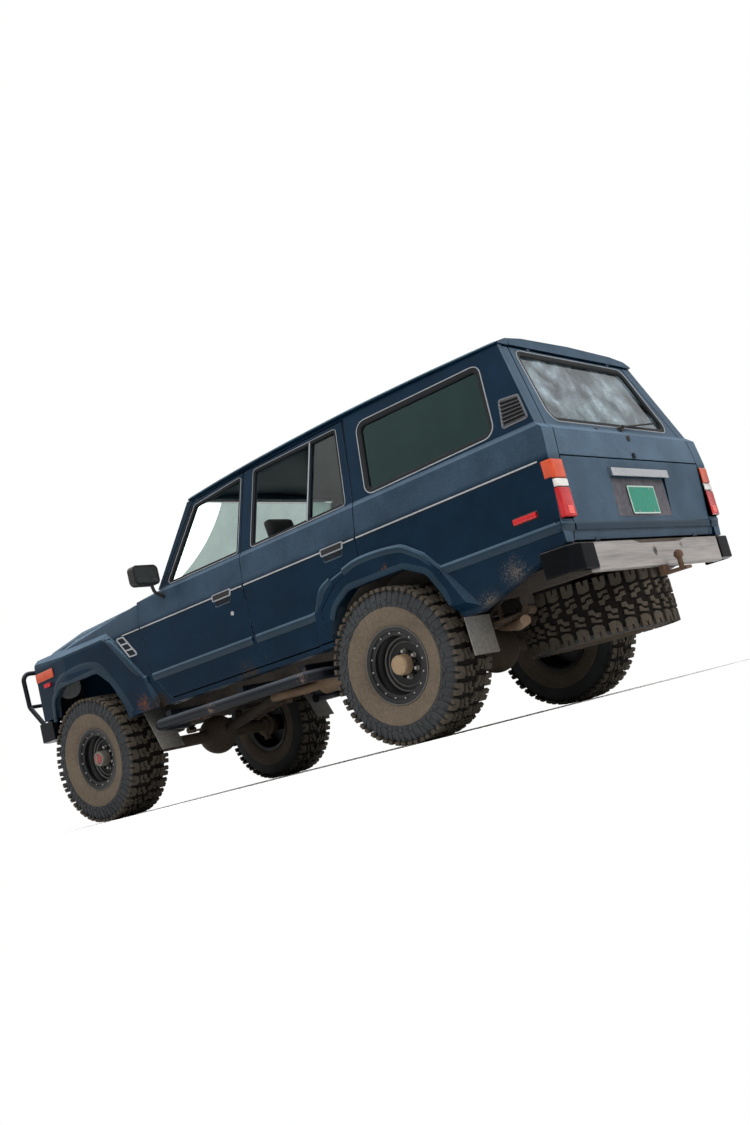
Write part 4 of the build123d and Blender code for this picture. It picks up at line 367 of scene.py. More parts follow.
# A slightly paler copy of the body paint, paler still on top: a painted highlight on the ledges, the arch lips and
# folds, and the door cup rims.
ledge_highlight_paint = finish(
    "ledge_highlight_paint", (0.004, 0.017, 0.031), 0.36, specular=0.2, vary=0.3, grain=220.0, bump=0.03,
    dust_and_highlight=(0.125, 0.19, 0.25), all_over=0.02, top_dust_and_highlight=0.75,
)
LEDGE = mm(((-14, -6), (-13, 0), (-7, 3), (0, 8), (5, 9.5), (12, 8.5), (24, 4), (38, 0), (39, -6)))
LEDGES = (
    # name, body, points as (x, height, half width), all running forwards
    ("wing", "car", ((2056, 692, 898), (2086, 694, 899), (2150, 756, 905), (2228, 851, 908), (2344, 978, 905),
                     (2400, 1012, 900), (2450, 1024, 896), (2900, 1022, 888), (3090, 1020, 874))),
    ("front_door", "door_front_{}_body", ((1034, 690, 897), (1500, 690, 897), (2000, 690, 897))),
    ("rear_door", "door_rear_{}_body", ((330, 844, 909), (400, 814, 910), (440, 772, 908), (480, 712, 903),
                                        (520, 691, 898), (700, 690, 897), (1000, 690, 897))),
    ("quarter", "car", ((-1152, 690, 786), (-1153, 690, 850), (-1149, 690, 884), (-1130, 690, 895), (-1090, 690, 897),
                        (-450, 690, 897), (-408, 696, 899), (-372, 726, 903), (-325, 784, 907),
                        (-262, 832, 909), (-190, 870, 909), (-40, 888, 909), (110, 888, 909), (222, 866, 909))),
)
for label, body, points in LEDGES:
    line = smooth_path([at(x, y, z) for x, z, y in points])
    steps = [b - a for a, b in zip(line, line[1:])]
    outs = [Vector((-step.y, step.x, 0)).normalized() for step in [*steps, steps[-1]]]
    make_pair(f"ledge_{label}", [(*sweep(line, outs, LEDGE), ledge_highlight_paint)], body)
gate_out = Vector((-1, 0, 0.08)).normalized()
GATE_LEDGE = [(a * 0.9, b * 0.4) for a, b in LEDGE]
make("ledge_gate", [(*sweep([at(-1152, y, 690) for y in (-768, 768)], [gate_out] * 2, GATE_LEDGE), ledge_highlight_paint)],
     "tailgate_body")


# Arch lips: the folded edge of each wheel arch, and the soft second fold above the front ones.
# They are pressed into the wings and the quarters, with the paint chipped where stones hit them.
def rounded(points, radius, steps=6, closed=True):
    """An outline with its corners turned into arcs, in the plane of the points."""
    line = []
    for i, corner in enumerate(points):
        if not closed and i in (0, len(points) - 1):
            line.append(corner)
            continue
        to_last = (points[i - 1] - corner).normalized()
        to_next = (points[(i + 1) % len(points)] - corner).normalized()
        half = to_last.angle(to_next) / 2
        centre = corner + (to_last + to_next).normalized() * radius / math.sin(half)
        start = (corner + to_last * radius / math.tan(half) - centre).normalized()
        end = (corner + to_next * radius / math.tan(half) - centre).normalized()
        line += [centre + start.slerp(end, j / steps) * radius for j in range(steps + 1)]
    return line


ARCH_LIP = mm(((-30, -3), (-27, 0.5), (-14, 2.5), (-2, 5), (5, 4), (9, 0), (9, -12), (5, -14), (2, -4)))
SOFT_FOLD = mm(((-36, -3), (-20, 1), (-6, 4), (5, 4), (18, 1.5), (34, -3)))
FOLDS = (
    # name, section, corner radius or none for a soft line, points as (x, height, half width), running forwards
    ("front_arch_lip", ARCH_LIP, 0.11, ((2300, 470, 910), (2322, 556, 910), (2420, 732, 909), (2560, 845, 908),
                                        (2900, 845, 903.5), (3030, 845, 894.5), (3140, 770, 885), (3168, 620, 882))),
    ("front_arch_fold", SOFT_FOLD, None, ((2262, 505, 910), (2300, 580, 910), (2389, 719, 909), (2486, 839, 908.5),
                                          (2560, 890, 908), (2680, 914, 907), (2822, 917, 905.5), (2940, 908, 901),
                                          (3030, 876, 894), (3095, 820, 888.5))),
    ("rear_arch_lip", ARCH_LIP, 0.11, ((-424, 490, 910), (-400, 560, 912), (-330, 690, 912), (-190, 759, 912),
                                       (210, 759, 912), (330, 690, 912), (368, 624, 912))),
)
for label, section, corner, points in FOLDS:
    line = [at(x, y, z) for x, z, y in points]
    line = rounded(line, corner, 8, closed=False) if corner else smooth_path(line)
    outs = [Vector((0, 1, 0.02)).normalized()] * len(line)
    make_pair(label, [(*sweep(line, outs, section), ledge_highlight_paint)], "car")


# Flank strip: a thin bright moulding on each panel at the top of the doors' flat, over a wider black strip that paints
# the shadow line beneath it.
# It runs from the wing vent to the tail lamp, broken at the door gaps.
bright_trim = finish(
    "bright_trim", (0.42, 0.44, 0.47), 0.38, metallic=0.75, vary=0.2, grain=300.0, bump=0.05, dust_and_highlight=(0.3, 0.3, 0.3),
    all_over=0.25,
)
black_rubber = finish(
    "black_rubber", (0.004, 0.005, 0.006), 0.6, specular=0.2, vary=0.3, grain=160.0, bump=0.1, dust_and_highlight=(0.06, 0.065, 0.07),
    all_over=0.08,
)
STRIP = mm(((-4, -2), (-4, 2), (-1.5, 4), (2, 4), (4, 2), (4, -2)))
# The black strip under the moulding is a painted shadow line.
STRIP_SHADOW = mm(((-9, -2), (-8.5, 1.2), (9, 1.2), (11, -2)))
for label, body, ends in (("wing", "car", (2050, 2236)), ("front_door", "door_front_{}_body", (1034, 2036)),
                          ("rear_door", "door_rear_{}_body", (106, 1017)), ("quarter", "car", (-1112, 91))):
    line = [at(x, skin(1010), 1010) for x in ends]
    outs = [lean(1000)] * 2
    parts = [(*sweep(line, outs, STRIP), bright_trim), (*sweep(line, outs, STRIP_SHADOW), black_rubber)]
    make_pair(f"strip_{label}", parts, body)


# Window surrounds: a black rubber seal in each opening and a thin bright bead round it.
# The sliding panes of the rear doors meet behind an upright bright bar.
def hoop(line, out, section, material):
    """A section carried right round an outline that lies in one plane, as one part of a piece."""
    return (*sweep(line, [out] * len(line), section, closed=True), material)


def flank_outline(corners, radius):
    """A rounded outline on the flank, from (x, height) corners."""
    return rounded([on_skin(x, z) for x, z in corners], radius)


SEAL = mm(((-13, -16), (-12, -3), (-7, 1), (1, 2), (5, 1), (6, -3), (-4, -16)))
BEAD = mm(((4, -1), (4.3, 2.4), (6, 3.6), (7.7, 2.4), (8, -1)))
QUARTER_SEAL = mm(((-20, -16), (-19, -4), (-14, 0), (-4, 2), (8, 2), (10, -2), (-4, -16)))
QUARTER_BEAD = mm(((7, -1), (8, 3.4), (10.5, 5), (13, 3.4), (14, -1)))
BAR_ROOT, BAR = mm(((-12, -16), (-8, 2), (8, 2), (12, -16))), mm(((-5, 1), (-4, 4), (4, 4), (5, 1)))
FRONT_WINDOW = ((1736, 1222), (1452, 1652), (1006, 1682), (1060, 1222))
REAR_WINDOW = ((934, 1222), (883, 1684), (190, 1682), (151, 1222))
QUARTER_WINDOW = ((-19, 1228), (19, 1646), (-832, 1632), (-885, 1240))
for label, body, window, corner, seal, bead in (
    ("front_door", "door_front_{}_body", FRONT_WINDOW, 0.018, SEAL, BEAD),
    ("rear_door", "door_rear_{}_body", REAR_WINDOW, 0.018, SEAL, BEAD),
    ("quarter", "car", QUARTER_WINDOW, 0.05, QUARTER_SEAL, QUARTER_BEAD),
):
    line = flank_outline(window, corner)
    parts = [hoop(line, lean(1400), seal, black_rubber), hoop(line, lean(1400), bead, bright_trim)]
    if label == "rear_door":
        bar = [on_skin(450, 1224), on_skin(394, 1680)]
        parts.append((*sweep(bar, [lean(1400)] * 2, BAR_ROOT), black_rubber))
        parts.append((*sweep(bar, [lean(1400)] * 2, BAR), bright_trim))
    make_pair(f"window_trim_{label}", parts, body)

HATCH_FOOT, HATCH_HEAD = (-1130, 1206), (-972, 1692)
HATCH_WINDOW = ((645, 1240), (566, 1668), (-566, 1668), (-645, 1240))
hatch_slope = (at(HATCH_HEAD[0], 0, HATCH_HEAD[1]) - at(HATCH_FOOT[0], 0, HATCH_FOOT[1])).normalized()
hatch_out = Vector((0, 1, 0)).cross(hatch_slope).normalized() * -1


def hatch_at(y, z, proud=0.0):
    """Place on the hatch's outer face at a height, across the car and off the face."""
    up = (z - HATCH_FOOT[1]) / (HATCH_HEAD[1] - HATCH_FOOT[1])
    return at(HATCH_FOOT[0] + up * (HATCH_HEAD[0] - HATCH_FOOT[0]), y, z) + hatch_out * proud / 1000


line = rounded([hatch_at(y, z) for y, z in HATCH_WINDOW], 0.06, 8)
parts = [hoop(line, hatch_out, QUARTER_SEAL, black_rubber), hoop(line, hatch_out, QUARTER_BEAD, bright_trim)]
make("window_trim_hatch", parts, "hatch_body")


# Roof gutters and pillar rubber: a rolled steel lip along each side of the roof, painted pale along its length
# as a highlight on its edge, and the black weatherstrip up the front of each front door.
# The pale teal of the gutter lip is a painted highlight.
gutter_highlight_paint = finish("gutter_highlight_paint", (0.03, 0.07, 0.09), 0.4, specular=0.3, vary=0.5, grain=60.0, bump=0.05,
                      dust_and_highlight=(0.16, 0.24, 0.28), all_over=0.35)
GUTTER = mm(((-4, -3), (-4, 1.5), (-1, 3), (2, 2.5), (4, 0), (4, -3)))
PILLAR_RUBBER = mm(((-8, -2), (-7, 2), (-2, 3.5), (4, 3), (8, -2)))
GUTTER_Y, GUTTER_LINE = 714.5, (
    (-965, 1710), (-900, 1714), (-700, 1724), (-400, 1736), (0, 1746), (400, 1747), (800, 1742), (1100, 1733),
    (1300, 1724), (1490, 1713),
)
line = smooth_path([at(x, GUTTER_Y, z) for x, z in GUTTER_LINE], 3)
parts = [(*sweep(line, [Vector((0, 1, 0))] * len(line), GUTTER), gutter_highlight_paint)]
make_pair("roof_gutter", parts, "car")
line = [on_skin(x, z) for x, z in ((1762, 1232), (1640, 1412), (1478, 1658))]
parts = [(*sweep(line, [lean(1400)] * 3, PILLAR_RUBBER), black_rubber)]
make_pair("pillar_rubber", parts, "door_front_{}_body")


# Window glass: drop panes in the doors and fixed panes elsewhere, darker in the rear quarters.
# Each pane is let into its rubber and carries a thin film of dust.
def glass(name, colour, dusty_colour, shine=0.3, haze=0.0, mirrored=(1, 1, 1)):
    """A pane that lets light through, patchily dulled by dust."""
    material, surface = shader(name, Roughness=0.0, IOR=1.45, Transmission_Weight=1.0, Specular_IOR_Level=shine)
    tree = material.node_tree
    place = add_node(tree, "TexCoord").outputs["Object"]
    film = ramp(tree, noise(tree, place, 5.0, 9.0, 0.65), 0.4, 0.7)
    tree.links.new(mix(tree, film, colour, dusty_colour), surface.inputs["Base Color"])
    surface.inputs["Specular Tint"].default_value = (*mirrored, 1)
    if haze:
        tree.links.new(ramp(tree, film, 0.0, 1.0, 1.0, 1.0 - haze), surface.inputs["Transmission Weight"])
    return material


clear_glass = glass("clear_glass", (0.4, 0.5, 0.47), (0.34, 0.42, 0.4))
tinted_glass = glass("tinted_glass", (0.03, 0.09, 0.085), (0.02, 0.055, 0.055), 0.14, mirrored=(0.5, 1, 0.95))
hazed_glass = glass("hatch_glass_tint", (0.16, 0.25, 0.3), (0.5, 0.62, 0.7), 1.0, haze=0.45)
dress(("windscreen", "door_glass_front_right", "door_glass_rear_left", "door_glass_rear_right"), clear_glass)
dress(("quarter_glass",), tinted_glass)
dress(("hatch_glass",), hazed_glass)


# Door pulls: a black lever in a bright frame at the top of each door, over a finger cup in the skin.
# The cup has a rim in the paler highlight paint and a dark plate inside that paints its shade.
# The front doors also have a round bright lock.
def plate(points, push):
    """A flat plate: its outline carried along a direction."""
    return loft([points, [point + push for point in points]])


def turned(profile, place, axis, steps=32):
    """A turned form: (along the axis, radius) pairs in millimetres, both ends closed."""
    axis = Vector(axis).normalized()
    first = axis.orthogonal().normalized()
    second = axis.cross(first)
    verts, faces, count = [], [], len(profile)
    for i in range(steps):
        angle = math.tau * i / steps
        ray = first * math.cos(angle) + second * math.sin(angle)
        verts += [place + (axis * h + ray * r) / 1000 for h, r in profile]
        for j in range(count - 1):
            a, b = i * count + j, (i + 1) % steps * count + j
            faces.append((a, a + 1, b + 1, b))
    for j in (0, count - 1):
        if profile[j][1]:
            faces.append([i * count + j for i in range(steps)])
    return verts, faces


black_moulding = finish(
    "black_moulding", (0.006, 0.007, 0.008), 0.42, specular=0.25, vary=0.3, grain=500.0, bump=0.25,
    dust_and_highlight=(0.2, 0.18, 0.16), all_over=0.05, top_dust_and_highlight=0.35,
)
# A near-black blue, used as painted shade inside the door cups and behind the vent and louvre openings, and also for
# the hatch catch plate.
painted_shade_dark = finish("painted_shade_dark", (0.003, 0.006, 0.01), 0.6, specular=0.15, vary=0.3, bump=0.05, all_over=0.02)
PULL_FRAME = mm(((-4, -2), (-4, 7), (-2, 10), (1, 10), (3.5, 6), (3.5, -2)))
CUP_RIM = mm(((-4, -2), (-3, 2.5), (0, 4.5), (4, 2.5), (6, -2)))
for end, front_x, rear_x in (("front", 1302, 1137), ("rear", 361, 192)):
    pull = flank_outline(((front_x, 984), (front_x, 1021), (rear_x, 1021), (rear_x + 6, 984)), 0.007)
    lever = flank_outline(
        ((front_x - 6, 989), (front_x - 6, 1016), (rear_x + 7, 1016), (rear_x + 12, 989)), 0.004)
    cup = flank_outline(
        ((front_x - 8, 946), (front_x - 8, 984), (rear_x + 12, 984), (rear_x + 12, 946)), 0.016)
    out = lean(990)
    parts = [
        hoop(pull, out, PULL_FRAME, bright_trim), (*plate(lever, out * 0.008), black_moulding),
        hoop(cup, out, CUP_RIM, ledge_highlight_paint),
        (*plate([point - out * 0.001 for point in cup], out * 0.0016), painted_shade_dark),
    ]
    make_pair(f"door_pull_{end}", parts, f"door_{end}_{{}}_body")
LOCK = ((-2, 14), (2, 14), (4.5, 12), (5, 9), (3.4, 8), (3.4, 2.5), (1, 2), (1, 0))
barrel = turned(LOCK, on_skin(1159, 874), lean(874))
make_pair("door_lock", [(*barrel, bright_trim)], "door_front_{}_body")


# Wing vents: a slanted bright frame behind each front wheel with three openings, dark from a plate behind them that
# paints their shade.
# The frame is cast in one piece with its two bars and is clipped into the wing.
def framed_bars(corners, radius, out, sections, shares, materials, backing):
    """A frame on the flank with a dark back plate that paints the shade behind its openings, and bars across it at
    shares of its height.
    """
    line = flank_outline(corners, radius)
    back = plate([point - out * 0.002 for point in line], out * backing)
    front_top, rear_top, rear_low, front_low = (on_skin(x, z) for x, z in corners)
    bars = [(rear_top.lerp(rear_low, share), front_top.lerp(front_low, share)) for share in shares]
    return [hoop(line, out, sections[0], materials[0]), (*back, painted_shade_dark),
            *[(*sweep(bar, [out] * 2, sections[1]), materials[1]) for bar in bars]]


VENT = ((2303, 1001), (2228, 998), (2111, 856), (2195, 858))
VENT_SECTIONS = [mm(((-5, -3), (-5, 5), (-3, 7.5), (3, 7.5), (5, 5), (5, -3))),
                 mm(((-5, -3), (-5, 4), (-2, 6), (2, 6), (5, 4), (5, -3)))]
parts = framed_bars(VENT, 0.008, lean(930), VENT_SECTIONS, (1 / 3, 2 / 3), (bright_trim, bright_trim), 0.0035)
make_pair("wing_vent", parts, "car")


# Pillar louvres: a black moulded outlet behind each quarter window, with slats that lean back over a dark plate that
# paints the shade inside.
# A paler frame holds it to the pillar.
LOUVRE, SLATS = ((-941, 1397), (-1055, 1384), (-1096, 1247), (-947, 1245)), 7
LOUVRE_SECTIONS = [mm(((-6, -4), (-6, 3), (-3, 5), (4, 5), (6, -4))),
                   mm(((-6, -1), (-2, 2), (4, 7), (6, 6), (5, -1)))]
louvre_trim = finish(
    "louvre_trim", (0.06, 0.07, 0.085), 0.5, vary=0.2, grain=300.0, dust_and_highlight=(0.25, 0.25, 0.25), all_over=0.2,
)
shares = [(i + 0.5) / SLATS for i in range(SLATS)]
parts = framed_bars(LOUVRE, 0.01, lean(1320), LOUVRE_SECTIONS, shares, (louvre_trim, black_moulding), 0.003)
make_pair("pillar_louvre", parts, "car")


# Side markers: a ribbed red lens in a black moulded bezel, one on each quarter above the ledge.
# The lens is a moulding with rounded shoulders, and its bezel is screwed to the panel from behind.
def lens(name, colour, rough=0.14):
    """Moulded lamp plastic: glossy outside, with a fine pattern of ribs inside."""
    material, surface = shader(name, Roughness=rough, Coat_Weight=0.25, Coat_Roughness=0.06, Specular_IOR_Level=0.25)
    tree = material.node_tree
    place = add_node(tree, "TexCoord").outputs["Object"]
    wave = {"Vector": place, "Scale": 55.0, "Distortion": 0.0}
    ribs = add_node(tree, "TexWave", wave, bands_direction="Z").outputs["Fac"]
    tone = reckon(tree, "MULTIPLY", ribs, noise(tree, place, 30.0, 5.0))
    darker, lighter = [c * 0.72 for c in colour], [min(c * 1.6 + 0.01, 1) for c in colour]
    tree.links.new(mix(tree, tone, darker, lighter), surface.inputs["Base Color"])
    emboss(tree, surface, ribs, 0.25, 0.001)
    return material


red_lens = lens("red_lens", (0.42, 0.002, 0.006))
pale_lens = lens("pale_lens", (0.62, 0.6, 0.57))
amber_lens = lens("amber_lens", (0.5, 0.055, 0.01))
MARKER_BEZEL = mm(((-4, -2), (-3, 4), (2, 5), (4, 3), (5, -2)))
MARKER_LENS = mm(((-15, -1), (-14, 9), (-10, 13), (-4, 15), (4, 15), (10, 13), (14, 9), (15, -1)))
marker_out = lean(770)
marker_line = flank_outline(((-902, 754), (-902, 786), (-1044, 786), (-1044, 754)), 0.008)
parts = [
    hoop(marker_line, marker_out, MARKER_BEZEL, black_moulding),
    (*sweep([on_skin(x, 770) for x in (-906, -1040)], [marker_out] * 2, MARKER_LENS), red_lens),
]
make_pair("side_marker", parts, "car")


# Tail lamps: one upright moulding in each rear corner, amber over clear over red, wrapped round the edge.
# The lenses are welded to a black housing and ribbed across.
LAMP_PLAN = ((-1184, 782), (-1184, 872), (-1178, 883), (-1168, 888), (-1128, 888), (-1128, 782))
LAMP_FRONT, LAMP_INNER = -1140, 800
LAMP_BANDS = (
    # lowest, highest, lens
    (713, 862, red_lens), (864, 906, pale_lens), (908, 1004, amber_lens),
)


def lamp_band(bottom, top, step=5.5):
    """A lens with rounded ends and cross ribs that follows the lamp's plan."""
    heights = [(bottom, -7), (bottom + 2, -3)]
    z = bottom + 5
    while z < top - 5:
        heights += [(z, 1.2), (z + step * 0.55, -0.2)]
        z += step
    heights += [(top - 2, -2), (top, -6)]
    return loft([[at(x - (grow if x < LAMP_FRONT else 0), y + (grow if y > LAMP_INNER else 0), z) for x, y in LAMP_PLAN]
                 for z, grow in heights])


parts = [(*lamp_band(bottom, top), material) for bottom, top, material in LAMP_BANDS]
housing = [at(x + 5, y - 3 if y > LAMP_INNER else y, 713) for x, y in LAMP_PLAN]
parts.append((*plate(housing, Vector((0, 0, 0.291))), black_moulding))
reflector = rounded([at(-1184.5, y, z) for y, z in ((848, 728), (848, 768), (800, 768), (800, 728))], 0.004)
parts.append((*plate(reflector, Vector((-0.002, 0, 0))), lens("reflector_lens", (0.75, 0.1, 0.08), 0.1)))
for lamp in make_pair("tail_lamp", parts, "car"):
    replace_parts(lamp, "tail_lamps")


# Tailgate: its bright bar handle over the recess, and the blank number plate on the recess's back.
# The plate is thin pressed aluminium, painted, and held by four screws.
chrome = finish("chrome", (0.55, 0.57, 0.6), 0.2, metallic=0.95, vary=0.12, grain=60.0, bump=0.06, all_over=0.08)
dress(("tailgate_handle",), chrome, 0.003)
plate_green = finish(
    "plate_green", (0.008, 0.17, 0.115), 0.4, specular=0.2, vary=0.12, grain=40.0, bump=0.04, all_over=0.06,
)
plate_rim = finish(
    "plate_rim", (0.38, 0.48, 0.44), 0.4, specular=0.2, vary=0.1, grain=40.0, bump=0.04, all_over=0.08,
)
screw_zinc = finish("screw_zinc", (0.3, 0.3, 0.31), 0.45, metallic=0.8, vary=0.3, bump=0.1, all_over=0.25)
PLATE_RIM = mm(((-7, 0.5), (-6, 3), (-2, 3.4), (1, 2), (1, -0.5), (-7, -0.5)))
SCREW = ((-9, 4), (2, 4.5), (2.4, 7), (4.5, 6), (5.2, 3), (4.6, 0))
rear = Vector((-1, 0, 0.06)).normalized()
plate_line = rounded([at(-1163, y, z) for y, z in ((152, 731), (152, 883), (-152, 883), (-152, 731))], 0.01)
parts = [(*plate(plate_line, rear * 0.0016), plate_green), hoop(plate_line, rear, PLATE_RIM, plate_rim)]
for y, z in ((88, 870), (-88, 870), (88, 744), (-88, 744)):
    parts.append((*turned(SCREW, at(-1163, y, z), rear, 12), screw_zinc))
make("number_plate", parts, "tailgate_body")
recess_grime = finish("recess_grime", (0.03, 0.032, 0.042), 0.7, specular=0.2, vary=0.4, grain=40.0, bump=0.1,
                      dust_and_highlight=(0.135, 0.125, 0.135), all_over=0.45)
lining = rounded([at(-1155.2, y, z) for y, z in ((303, 719), (303, 924), (-303, 924), (-303, 719))], 0.006)
make("recess_lining", [(*plate(lining, Vector((-0.0012, 0, 0))), recess_grime)], "tailgate_body")


# Hatch fittings: the wiper on its spindle, the washer jet, the lock's knob and the catch at the lower edge.
# The arm is folded steel painted black, and the blade is rubber in a black carrier.
def rod(points, radius, sides=10):
    """A round bar along a line, thinning or swelling by the radius given for each point."""
    rings = []
    for i, point in enumerate(points):
        along = (points[min(i + 1, len(points) - 1)] - points[max(i - 1, 0)]).normalized()
        first = along.cross(Vector((0, 0, 1)) if abs(along.z) < 0.8 else Vector((0, 1, 0))).normalized()
        second = along.cross(first)
        size = radius[i] if isinstance(radius, (list, tuple)) else radius
        angles = [math.tau * j / sides for j in range(sides)]
        rings.append([point + (first * math.cos(a) + second * math.sin(a)) * size / 1000 for a in angles])
    return loft(rings)


SPINDLE = ((-2, 22), (4, 21), (9, 17), (20, 14), (24, 11), (25, 0))
JET = ((-2, 11), (3, 10), (6, 7), (7, 0))
LOCK_KNOB = ((-2, 19), (6, 18), (10, 15), (11, 9), (9, 8), (9, 0))
arm = [hatch_at(-32, 1219, 26), hatch_at(-60, 1222, 28), hatch_at(-200, 1241, 22), hatch_at(-343, 1262, 18)]
blade = [hatch_at(-160, 1240, 11), hatch_at(-343, 1262, 13), hatch_at(-520, 1284, 11)]
parts = [
    (*turned(SPINDLE, hatch_at(-32, 1217), hatch_out), black_moulding),
    (*turned(JET, hatch_at(236, 1206), hatch_out, 20), black_moulding),
    (*turned(LOCK_KNOB, at(-1167, -12, 1151), (-1, 0, 0)), black_moulding),
    (*rod(smooth_path(arm, 4), [9, 8, 7, 6, 6, 5.5, 5.5, 5, 5, 4.5, 4.5, 4, 4], 8), black_moulding),
    (*rod(smooth_path(blade, 6), 5, 8), black_rubber),
]
catch = rounded([at(-1179, y, z) for y, z in ((16, 1034), (12, 1062), (-12, 1062), (-16, 1034))], 0.004)
parts.append((*plate(catch, Vector((-0.006, 0, 0))), painted_shade_dark))
make("hatch_fittings", parts, "hatch_body")


# Windscreen wipers: two black steel arms on spindles in the cowl, parked along the foot of the screen.
# Each carries a rubber blade in a thin carrier.
SCREEN_FOOT, SCREEN_SLOPE = (1860.3, 1192.3), (0.532, 0.847)
ARM_BOSS = ((-1, 17), (4, 16), (9, 13), (20, 11), (26, 9), (27, 0))


def screen_at(up, y, proud):
    """Place on the windscreen: millimetres up its slope, across, and off the glass."""
    (x, z), (back, rise) = SCREEN_FOOT, SCREEN_SLOPE
    return at(x - back * up + rise * proud, y, z + rise * up + back * proud)


for side, pivot_y in (("left", 600), ("right", 120)):
    foot = at(1905, pivot_y, 1192)
    arm = [foot + Vector((0, 0, 0.02)), screen_at(12, pivot_y - 70, 30), screen_at(45, pivot_y - 250, 24),
           screen_at(70, pivot_y - 390, 18)]
    blade = [screen_at(48, pivot_y - 190, 7), screen_at(70, pivot_y - 390, 10), screen_at(92, pivot_y - 590, 7)]
    parts = [
        (*turned(ARM_BOSS, foot, (0, 0, 1), 20), black_moulding),
        (*rod(smooth_path(arm, 4), [8, 7, 6, 5.5, 5, 5, 4.5, 4.5, 4, 4, 4, 3.5, 3.5], 8), black_moulding),
        (*rod(smooth_path(blade, 6), 4.5, 8), black_rubber),
    ]
    make(f"wiper_{side}", parts, "car")


# Rear bumper: a bright pressed steel beam, scratched along its length, between two black moulded ends.
# Its paint and plating are worn dull and dusty all over.
# The small dark spot on the beam paints the shade of a dent.
beam_bright = finish(
    "beam_bright", (0.2, 0.19, 0.185), 0.42, metallic=0.3, vary=0.75, grain=34.0, bump=0.35, stretch=(3.0, 0.14, 4.0),
    dust_and_highlight=(0.38, 0.35, 0.33), all_over=0.5, spots=((at(-1188, 93, 520), 0.05, 45.0, (0.06, 0.055, 0.055), 0.2),
                                                  (at(-1188, -230, 545), 0.05, 45.0, (0.16, 0.14, 0.13), 0.3)),
)
dress(("rear_bumper",), beam_bright, 0.006)
end_black = finish("end_black", (0.0015, 0.002, 0.003), 0.24, specular=0.06, vary=0.3, grain=30.0, bump=0.1,
                   dust_and_highlight=(0.16, 0.155, 0.15), all_over=0.01, top_dust_and_highlight=0.35)
dress(("rear_bumper_ends",), end_black, 0.008)
rusty_iron = finish(
    "rusty_iron", (0.09, 0.045, 0.028), 0.75, metallic=0.3, vary=0.5, grain=120.0, bump=0.5, dust_and_highlight=(0.2, 0.13, 0.08),
    all_over=0.3,
)
dress(("tow_ball",), rusty_iron, 0.001)


# Tyres: a ply carcass with a moulded mud tread. Each has thirty shoulder blocks a side, two staggered
# rows of slanted blocks between them, and short ribs down the outer wall that bite in ruts.
def turned_ring(profile, steps=96):
    """A closed section, as (along Y, radius) in millimetres, carried round the Y axis."""
    angles = [math.tau * i / steps for i in range(steps)]
    return loft([[Vector((r * math.sin(a), y, r * math.cos(a))) / 1000 for y, r in profile] for a in angles], True)


TYRE_RADIUS, TYRE_CROWN, PITCHES = 420, 405, 30
WALL_BULGE, WALL_TOP, WALL_FOOT = 152.5, 322, 300
BLOCK_ROOT, SHOULDER_STEP, RIB_ROOT, RIB_PROUD, DRAFT = 398, 3, 6, 4.5, 1.6
CARCASS = (
    (110, 193), (113, 208), (127, 220), (136, 232), (147, 262), (152, 300), (152.5, 322), (150, 352), (144, 376),
    (132, 394), (112, 403), (60, TYRE_CROWN),
)
tyre_core = finish("tyre_core", (0.004, 0.004, 0.004), 0.9, specular=0.1, vary=0.4, bump=0.3, dust_and_highlight=(0.04, 0.03, 0.022),
                   all_over=0.15)
tyre_wall = finish(
    "tyre_wall", (0.06, 0.047, 0.036), 0.85, specular=0.2, vary=0.35, grain=70.0, bump=0.2, dust_and_highlight=(0.16, 0.125, 0.09),
    all_over=0.42,
)
tyre_biters = finish(
    "tyre_biters", (0.014, 0.017, 0.021), 0.75, specular=0.25, vary=0.45, grain=130.0, bump=0.4,
    dust_and_highlight=(0.085, 0.083, 0.08), all_over=0.25,
)
tyre_tread = finish(
    "tyre_tread", (0.018, 0.016, 0.014), 0.88, specular=0.2, vary=0.5, grain=110.0, bump=0.45,
    dust_and_highlight=(0.14, 0.115, 0.085), all_over=0.33,
)


def on_wheel(s, y, radius):
    """Place on the wheel: millimetres along its circumference, outboard, and from the axle."""
    angle = s / TYRE_RADIUS
    return Vector((radius * math.sin(angle), y, radius * math.cos(angle))) / 1000


def tread_block(low, high, foot, top):
    """A block between two outlines of (along the tread, across it), at two radii."""
    return loft([[on_wheel(s, y, foot) for s, y in low], [on_wheel(s, y, top) for s, y in high]])


def drawn_in(points, amount):
    """The outline with each corner pulled towards its middle, for the draft of a mould."""
    s0 = sum(s for s, _ in points) / len(points)
    y0 = sum(y for _, y in points) / len(points)
    return [(s - amount * (1 if s > s0 else -1), y - amount * (1 if y > y0 else -1)) for s, y in points]


def on_wall(s, r, proud):
    """Place on the outer wall, which is flat between two radii and falls away above and below."""
    wall = WALL_BULGE - max(r - WALL_TOP, 0) ** 2 / 380 - max(WALL_FOOT - r, 0) * 0.12
    return on_wheel(s, wall + proud, r)


def wall_rib(points):
    """A rib on the outer wall, from (along, radius) corners."""
    return loft([[on_wall(s, r, -RIB_ROOT) for s, r in points],
                 [on_wall(s, r, RIB_PROUD) for s, r in drawn_in(points, DRAFT)]])


